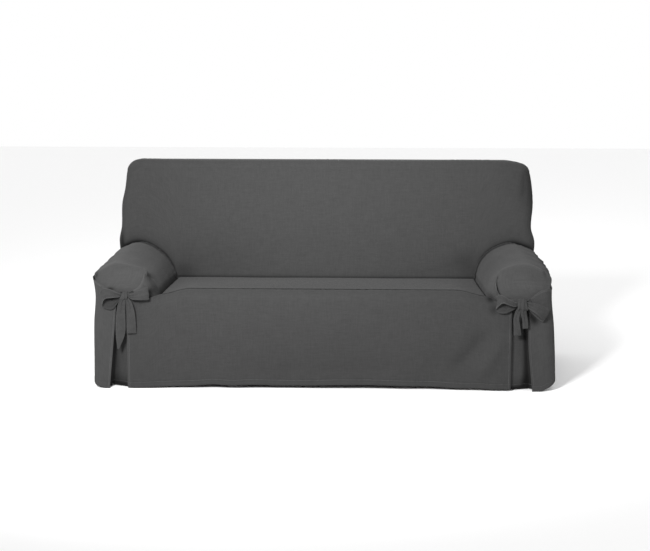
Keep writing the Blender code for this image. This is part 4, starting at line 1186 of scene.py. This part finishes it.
def makePleat(side):
    arm, look = arms[side], pleatLook

    def spot(share, height):
        outer = smooth(freeEdges, side, height) + look["lap"]
        edgeY = blend(*look["edgeDepths"], easeAt((height - 0.33) / 0.04))
        inset = easeAt(share / 0.22) * easeAt((1.0 - share) / 0.25)
        reach = blend(outer, arm["skirtEdge"] - look["lap"], share)
        y = blend(edgeY, blend(look["depth"][side], look["skirtDepth"], share), inset)
        return (arm["sign"] * reach, y + look["topSetBack"] * easeAt((height - 0.36) / 0.04), height)

    points = layGrid(spot, spread(0.0, 1.0, 26), spread(look["hemZ"], arm["knotZ"] + look["topRise"], 56))
    points = points[:, ::-arm["sign"]]
    u, v = cutLengths(points)
    middle = ease(np.minimum(*edgesAway(u, v)[:2]) / 0.03)
    relief = look["slack"] * uneven(points[..., 0], points[..., 2] * 0.3, *look["ripple"]) * middle
    points = pushed(points, relief + hemmed(v, *look["hem"]))
    sewAlong(points, "first row", look["hem"][0])
    x, z = np.abs(points[..., 0]), points[..., 2]
    toEdge = np.maximum(np.interp(z, freeEdges["at"], freeEdges[side]) - x, 0.0)
    narrow, more = look["wedgeReach"]
    wedge = narrow + more * np.clip(1.0 - z / 0.22, 0.0, 1.0) ** 2
    # painted shade in a wedge beside the outer panel and low above the hem
    tone = look["light"][side] - look["wedge"][side] * np.exp(-(toEdge / wedge) ** 4)
    tone += sum(sunk(np.maximum(z - up, 0.0), *shade) for up, *shade in look["lowShades"])
    layPanel("pleat_" + side, [(points, u, v, floored(tone, look["darkest"]))], (0.14, 0.42), held="hung")


# The bows
bowLook = {
    "wall": 0.0020,
    "cutWidth": 0.044,         # width of a tie laid flat
    "stand": 0.022,            # how far the knot stands in front of the cover
    "steps": 9,
    "gather": 0.0032,          # depth of the small pleats where a tie enters the knot
    "gatherReach": 0.042,
    "gatherFolds": 13.0,       # how closely they follow each other
    "gatherShade": 0.40,       # how much painted shade darkens their hollows
    "crumple": (0.0011, 0.034, 0.05),   # soft unevenness: height, size, and the painted light and shade that follows it
    "backShade": 0.12,         # painted shade on the half of a loop that lies behind
    "backDepth": 0.026,        # and where that begins
    "cup": 0.05,               # how far a tie curls across its width, as a share of it
    "edge": (0.0035, 0.0005),
    # painted highlight along the ties' edges
    "edgeLight": 0.20,
    # the knot's band: size, and its ends' and middle's half depth, half height and half width
    "knotSize": {"left": 1.0, "right": 1.45},
    "knotDepth": (0.0085, 0.0055),
    "knotHeight": (0.0105, 0.0065),
    "knotWidth": 0.0155,
    "knotFolds": (0.0012, 0.0009),
    "knotTaper": 0.14,
    "knotLean": (0.0030, 0.0015),
    "knotForward": 0.002,
    "sewLift": 0.0012,         # the stitches lie on the cloth, off its middle
}
# Paths of the ties, in millimetres from the knot's centre: inward, up, forward, then the width and
# its tilt in degrees, which leans its upper edge forward.
knotParts = {
    "loopOut": [(3, 3, 3, 10, 0), (17, 4, 6, 16, -10)],
    "loopBack": [(17, -4, -3, 14, 0), (3, -1, -2, 9, 0)],
    "tailOut": [(3, -2, 3, 12, 0)],
    "leadOut": [(8, 7, -2.5, 6, 0), (18, 8, -3, 10, 0)],
}
leads = {
    "inner": [(26, 13, -9, 16, 0), (36, 16, -14, 22, 0)],
    "outer": [(27, 12, -13, 16, 0), (38, 17, -18.5, 22, 0)],
}
loops = {
    "inner_left": [
        (36, -1, 10, 28, -8), (68, 6, 14, 44, -10), (96, 12, 10, 57, -4), (109, 13, 2, 60, 0),
        (96, 8, -6, 54, 6), (64, 0, -9, 44, 8), (36, -4, -7, 26, 0),
    ],
    "outer_left": [
        (34, 8, 13, 28, -18), (60, 13, 21, 43, -28), (88, 12, 19, 55, -22), (104, -12, 6, 66, -4),
        (90, -36, -4, 50, 5), (62, -42, -9, 46, 10), (36, -22, -8, 28, 4),
    ],
    "inner_right": [
        (36, 4, 13, 26, -32), (64, 14, 19, 36, -44), (92, 26, 17, 43, -36), (115, 9, 6, 64, -6),
        (100, -14, 1, 50, 0), (68, -20, -4, 38, -10), (36, -10, -6, 26, -8),
    ],
    "outer_right": [
        (36, -4, 14, 34, -18), (62, -14, 23, 48, -32), (90, -30, 20, 56, -26), (109, -48, 6, 58, 0),
        (97, -56, -6, 46, 8), (62, -34, -10, 36, 8), (36, -15, -8, 26, 0),
    ],
}
tails = {
    "inner_left": [
        (13, -18, 4, 22, 8), (21, -38, 4, 32, 14), (25.5, -75, 0, 39, 8), (27, -120, -4, 42, 0),
        (26.8, -173, -8, 42, -6),
    ],
    "outer_left": [
        (7, -18, 7, 22, -8), (12, -42, 8, 34, -16), (17, -82, 6, 41, -10), (19.5, -130, 3, 45, -4),
        (21.5, -168, 1, 43, 0), (27, -205, 0, 29, 4), (34, -243, -2, 6, 8),
    ],
    "inner_right": [
        (14, -24, 2, 21, 10), (22, -42, 3, 24, 16), (26, -65, 1, 25, 8), (22, -100, -2, 29, 2),
        (18, -141, -5, 33, 0),
    ],
    "outer_right": [
        (5, -24, 8, 25, -12), (8, -45, 9, 27, -18), (13.5, -75, 6, 25, -8), (15.5, -108, 2, 25, 0),
    ],
}
pathColumns = ("inward", "up", "forward", "width", "tilt")


# One strip of a tie along its path; a tail's width follows the path's turns, a loop's does not.
def tieGrid(side, toward, rows, follows, seed):
    arm, look = arms[side], bowLook
    path = {"at": [float(index) for index in range(len(rows))]}
    for column, values in zip(pathColumns, zip(*rows)):
        path[column] = values if column == "tilt" else [value / 1000.0 for value in values]
    knot = Vector((arm["sign"] * arm["knotReach"], frontY - look["stand"], arm["knotZ"]))
    count = (len(rows) - 1) * look["steps"]
    spots = [[smooth(path, column, index / look["steps"]) for column in pathColumns]
             for index in range(count + 1)]
    centres = [Vector((arm["sign"] * (arm["knotReach"] - toward * inward), frontY - look["stand"] - forward,
                       arm["knotZ"] + up)) for inward, up, forward, _, _ in spots]
    span = max(centres, key=lambda centre: (centre - centres[0]).length) - centres[0]
    before = Vector((0.0, 0.0, 1.0)) if not follows or abs(span.x) > abs(span.z) else Vector((1.0, 0.0, 0.0))
    lean = Vector((0.0, -1.0, 0.0))
    points, hollows = [], []
    for index, centre in enumerate(centres):
        width, tilt = spots[index][3], math.radians(spots[index][4])
        along = centres[min(index + 1, count)] - centres[max(index - 1, 0)]
        lie = along if follows else span
        flat = Vector((-lie.z, 0.0, lie.x)).normalized()
        if flat.dot(before) < 0.0:
            flat.negate()
        before = flat
        across = flat * math.cos(tilt) + lean * math.sin(tilt)
        out = along.normalized().cross(across).normalized()
        near = math.exp(-(centre - knot).length / look["gatherReach"])
        row = []
        for share in spread(-0.5, 0.5, 18):
            fold = math.cos(share * look["gatherFolds"] + seed + 1.3 * math.sin(share * 5.0 + seed))
            cup = look["cup"] * width * (math.cos(math.pi * share) - 0.6)
            row.append(tuple(centre + across * (width * share) + out * (look["gather"] * near * fold + cup)))
            hollows.append(near * (0.5 - 0.5 * fold))
        points.append(row)
    points = np.array(points)
    u, v = cutLengths(points)
    edge = np.minimum(*edgesAway(u, v)[:2])
    near = np.exp(-np.linalg.norm(points - np.array(knot), axis=2) / 0.03)
    height, size, light = look["crumple"]
    crumple = uneven(u * 1.6, v, size, int(seed * 10) + (0 if side == "left" else 5)) * (1.0 - 0.5 * near)
    relief = hemmed(edge, *look["edge"]) * ease(v / 0.05) + height * crumple
    # painted highlight along the edges, painted shade in the gathered hollows and on a loop's back half,
    # light and shade following the crumples
    tone = look["edgeLight"] * ease((look["edge"][0] - edge) / 0.001) * (1.0 - near)
    tone -= look["gatherShade"] * np.array(hollows).reshape(u.shape) - light * crumple
    if not follows:
        tone -= look["backShade"] * ease((points[..., 1] - frontY + look["backDepth"]) / 0.008)
    return pushed(points, relief), u, v, tone


# The band round the gathered ties, with soft folds that run round it and a slight twist.
def knotGrid(side):
    arm, look = arms[side], bowLook
    size = look["knotSize"][side]

    def spot(level, angle):
        full = math.sqrt(max(1.0 - level ** 4, 0.0))
        fold = look["knotFolds"][0] * math.cos(level * 7.0 + 1.4 * math.sin(angle) + 0.8)
        fold += look["knotFolds"][1] * math.cos(level * 3.6 - angle)
        depth, height = [ends + more * full + fold for ends, more in (look["knotDepth"], look["knotHeight"])]
        width = look["knotWidth"] * size * (1.0 - look["knotTaper"] * math.sin(angle + 0.5))
        lean = look["knotLean"][0] * math.sin(angle) + look["knotLean"][1] * math.cos(angle * 2.0)
        return (arm["sign"] * (arm["knotReach"] - level * width - lean),
                frontY - look["stand"] - look["knotForward"] - depth * size * math.cos(angle),
                arm["knotZ"] + height * size * math.sin(angle))

    points = layGrid(spot, spread(-1.0, 1.0, 30), spread(0.0, 2.0 * math.pi, 60))
    return points, *cutLengths(points)


def makeTie(tie, side):
    toward = 1 if tie == "inner" else -1
    key = tie + "_" + side
    strips = [(knotParts["loopOut"] + loops[key] + knotParts["loopBack"], False, 0.4),
              (knotParts["tailOut"] + tails[key], True, 1.7),
              (knotParts["leadOut"] + leads[tie], True, 2.9)]
    grids = [tieGrid(side, toward, *strip) for strip in strips]
    loop, tail = grids[0][0], grids[1][0]
    for edge in ("first column", "last column"):
        for strip in (tail[12:], loop[10:-10]):
            sewAlong(strip, edge, bowLook["edge"][0], bowLook["sewLift"])
    if tie == "outer":
        grids.append(knotGrid(side))
    area = 0.0
    for points, *_ in grids:
        across, up = points[:-1, 1:] - points[:-1, :-1], points[1:, :-1] - points[:-1, :-1]
        area += float(np.linalg.norm(np.cross(across, up), axis=2).sum())
    width = bowLook["cutWidth"]
    print("tie", key, "area", round(area, 4))
    layPanel("tie_" + key, grids, (width, round(area / width, 3)), held="folded", slot="tie_cloth",
             wall=bowLook["wall"], offset=0.0, weld=1e-7)


makeInsideBack()
makeOuterBack()
makeSeatTop()
makeFrontSkirt()
for side in arms:
    makeArmTop(side)
    makeArmOuter(side)
    makePleat(side)
print("panels laid")
for side in arms:
    for tie in ("inner", "outer"):
        makeTie(tie, side)
print("bows tied")


# The sewing: one short thread arc per stitch, repeated along every sewn line
stitchLook = {
    "pitch": 0.0036,
    "length": 0.0026,
    "thread": 0.00045,         # radius
    "seed": 7,
    "uneven": (0.88, 1.06),    # smallest and largest stitch for its size
    "colour": (0.042, 0.042, 0.042),
}


def threadMaterial(look):
    material, tree, shader = newMaterial("charcoal sewing thread")
    source = addNode(tree, "ShaderNodeTexCoord")
    ply = addNode(tree, "ShaderNodeTexNoise", {"Scale": 900.0, "Vector": source.outputs["Object"]})
    ramp = addNode(tree, "ShaderNodeValToRGB", {"Fac": ply.outputs["Fac"]})
    for stop, shade in zip(ramp.color_ramp.elements, (0.75, 1.35)):
        stop.color = (*[channel * shade for channel in look["colour"]], 1.0)
    fill(tree, shader, {
        "Base Color": ramp.outputs["Color"], "Normal": bumped(tree, ply.outputs["Fac"], 0.4, 0.0002),
        "Roughness": 0.7, "Sheen Weight": 0.15})
    return material


sewingThread = threadMaterial(stitchLook)


# Stitches along edges: pitch, length and thread are inputs; the edges carry which way is up.
def stitchTree(material):
    tree = bpy.data.node_groups.new("stitches along sewn lines", "GeometryNodeTree")
    tree.interface.new_socket("Geometry", in_out="INPUT", socket_type="NodeSocketGeometry")
    for name in ("Pitch", "Length", "Thread"):
        tree.interface.new_socket(name, in_out="INPUT", socket_type="NodeSocketFloat")
    tree.interface.new_socket("Seed", in_out="INPUT", socket_type="NodeSocketInt")
    tree.interface.new_socket("Geometry", in_out="OUTPUT", socket_type="NodeSocketGeometry")
    source = addNode(tree, "NodeGroupInput").outputs
    path = addNode(tree, "GeometryNodeMeshToCurve", {0: source["Geometry"]})
    even = addNode(tree, "GeometryNodeResampleCurve", mode="LENGTH")
    fill(tree, even, {"Curve": path.outputs[0], "Length": source["Pitch"]})
    tangent = addNode(tree, "GeometryNodeInputTangent")
    keep = addNode(tree, "GeometryNodeCaptureAttribute")
    keep.capture_items.new("VECTOR", "Along")
    fill(tree, keep, {"Geometry": even.outputs[0], "Along": tangent.outputs[0]})
    points = addNode(tree, "GeometryNodeCurveToPoints", {"Curve": keep.outputs["Geometry"]}, mode="EVALUATED")
    up = addNode(tree, "GeometryNodeInputNamedAttribute", {"Name": "upward"}, data_type="FLOAT_VECTOR")
    alongX = addNode(tree, "FunctionNodeAlignRotationToVector", {"Vector": keep.outputs["Along"]}, axis="X")
    upZ = addNode(tree, "FunctionNodeAlignRotationToVector", {
        "Rotation": alongX.outputs["Rotation"], "Vector": up.outputs["Attribute"]}, axis="Z", pivot_axis="X")
    # one stitch: a short flattened arc of thread, its ends sunk in the cloth
    half = mathNode(tree, "MULTIPLY", source["Length"], 0.5)
    below = mathNode(tree, "MULTIPLY", source["Thread"], -1.2)
    above = mathNode(tree, "MULTIPLY", source["Thread"], 1.6)
    ends = [{"X": mathNode(tree, "MULTIPLY", half, -1.0), "Z": below}, {"Z": above}, {"X": half, "Z": below}]
    start, middle, end = [addNode(tree, "ShaderNodeCombineXYZ", spot).outputs[0] for spot in ends]
    arc = addNode(tree, "GeometryNodeCurveQuadraticBezier", {
        "Resolution": 4, "Start": start, "Middle": middle, "End": end})
    ring = addNode(tree, "GeometryNodeCurvePrimitiveCircle", {"Resolution": 5, "Radius": source["Thread"]})
    tube = addNode(tree, "GeometryNodeCurveToMesh", {
        "Curve": arc.outputs[0], "Profile Curve": ring.outputs[0], "Fill Caps": True})
    smallest, largest = stitchLook["uneven"]
    scale = addNode(tree, "FunctionNodeRandomValue", {2: smallest, 3: largest, "Seed": source["Seed"]})
    place = addNode(tree, "GeometryNodeInstanceOnPoints", {
        "Points": points.outputs["Points"], "Instance": tube.outputs[0],
        "Rotation": upZ.outputs["Rotation"], "Scale": scale.outputs[1]})
    real = addNode(tree, "GeometryNodeRealizeInstances", {0: place.outputs[0]})
    paint = addNode(tree, "GeometryNodeSetMaterial", {"Geometry": real.outputs[0], "Material": material})
    addNode(tree, "NodeGroupOutput", {0: paint.outputs[0]})
    return tree


def makeStitches():
    vertices, edges, ups = [], [], []
    for points, normals in stitchLines:
        base = len(vertices)
        vertices += [tuple(point) for point in points]
        ups += [tuple(normal) for normal in normals]
        edges += [(base + index, base + index + 1) for index in range(len(points) - 1)]
    data = bpy.data.meshes.new("sewn_lines")
    data.from_pydata(vertices, edges, [])
    upward = data.attributes.new("upward", "FLOAT_VECTOR", "POINT")
    upward.data.foreach_set("vector", np.array(ups, dtype=np.float32).ravel())
    piece = bpy.data.objects.new("stitching", data)
    bpy.context.scene.collection.objects.link(piece)
    tree = stitchTree(sewingThread)
    sewing = piece.modifiers.new("stitches", "NODES")
    sewing.node_group = tree
    for item in tree.interface.items_tree:
        if item.in_out == "INPUT" and item.name.lower() in stitchLook:
            sewing[item.identifier] = stitchLook[item.name.lower()]
    settle(piece)
    piece.data.materials.clear()
    piece.data.materials.append(sewingThread)
    piece.data.polygons.foreach_set("material_index", [0] * len(piece.data.polygons))
    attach(piece, "root")
    print("stitches sewn:", len(stitchLines), "lines,", len(piece.data.polygons), "faces")


makeStitches()


# Floor, light and camera
studio = {
    "floor": (0.93, 0.93, 0.93),
    "floorHalf": 30.0,
    "sky": 1.0,
    "key": {"place": (-1.2, -4.1, 2.2), "aim": (0.02, 0.2, 1.12), "size": 0.9, "power": 92.0, "spread": 68.0},
    "fill": {"place": (2.6, -4.2, 1.4), "aim": (0.1, 0.0, 0.6), "size": 2.0, "power": 4.0, "spread": 120.0},
    "camera": {"place": (0.156, -6.06, 1.30), "turn": 1.48, "down": 82.15, "roll": 0.15, "lens": 69.9},
}


def makeFloor():
    data = bpy.data.meshes.new("floor")
    half = studio["floorHalf"]
    corners = [(x * half, y * half, 0.0) for x, y in ((-1, -1), (1, -1), (1, 1), (-1, 1))]
    data.from_pydata(corners, [], [(0, 1, 2, 3)])
    piece = bpy.data.objects.new("floor", data)
    bpy.context.scene.collection.objects.link(piece)
    material, tree, shader = newMaterial("pale studio floor")
    fill(tree, shader, {"Base Color": (*studio["floor"], 1.0), "Roughness": 0.9, "Specular IOR Level": 0.1})
    data.materials.append(material)


def makeLight(name):
    look = studio[name]
    data = bpy.data.lights.new(name, "AREA")
    data.size, data.energy, data.spread = look["size"], look["power"], math.radians(look["spread"])
    lamp = bpy.data.objects.new(name, data)
    lamp.location = look["place"]
    lamp.rotation_euler = (Vector(look["aim"]) - Vector(look["place"])).to_track_quat("-Z", "Y").to_euler()
    bpy.context.scene.collection.objects.link(lamp)


def makeCamera():
    look = studio["camera"]
    data = bpy.data.cameras.new("camera")
    data.sensor_width, data.lens = 36.0, look["lens"]
    eye = bpy.data.objects.new("camera", data)
    turn = Matrix.Rotation(math.radians(look["turn"]), 3, "Z")
    down = Matrix.Rotation(math.radians(look["down"]), 3, "X")
    roll = Matrix.Rotation(math.radians(look["roll"]), 3, "Z")
    eye.location = look["place"]
    eye.rotation_euler = (turn @ down @ roll).to_euler()
    bpy.context.scene.collection.objects.link(eye)
    bpy.context.scene.camera = eye


makeFloor()
for lightName in ("key", "fill"):
    makeLight(lightName)
makeCamera()
world = bpy.data.worlds.new("studio")
world.use_nodes = True
sky = world.node_tree.nodes["Background"]
fill(world.node_tree, sky, {"Color": (1.0, 1.0, 1.0, 1.0), "Strength": studio["sky"]})
bpy.context.scene.world = world
bpy.context.scene.view_settings.view_transform = "Standard"
print("studio ready")
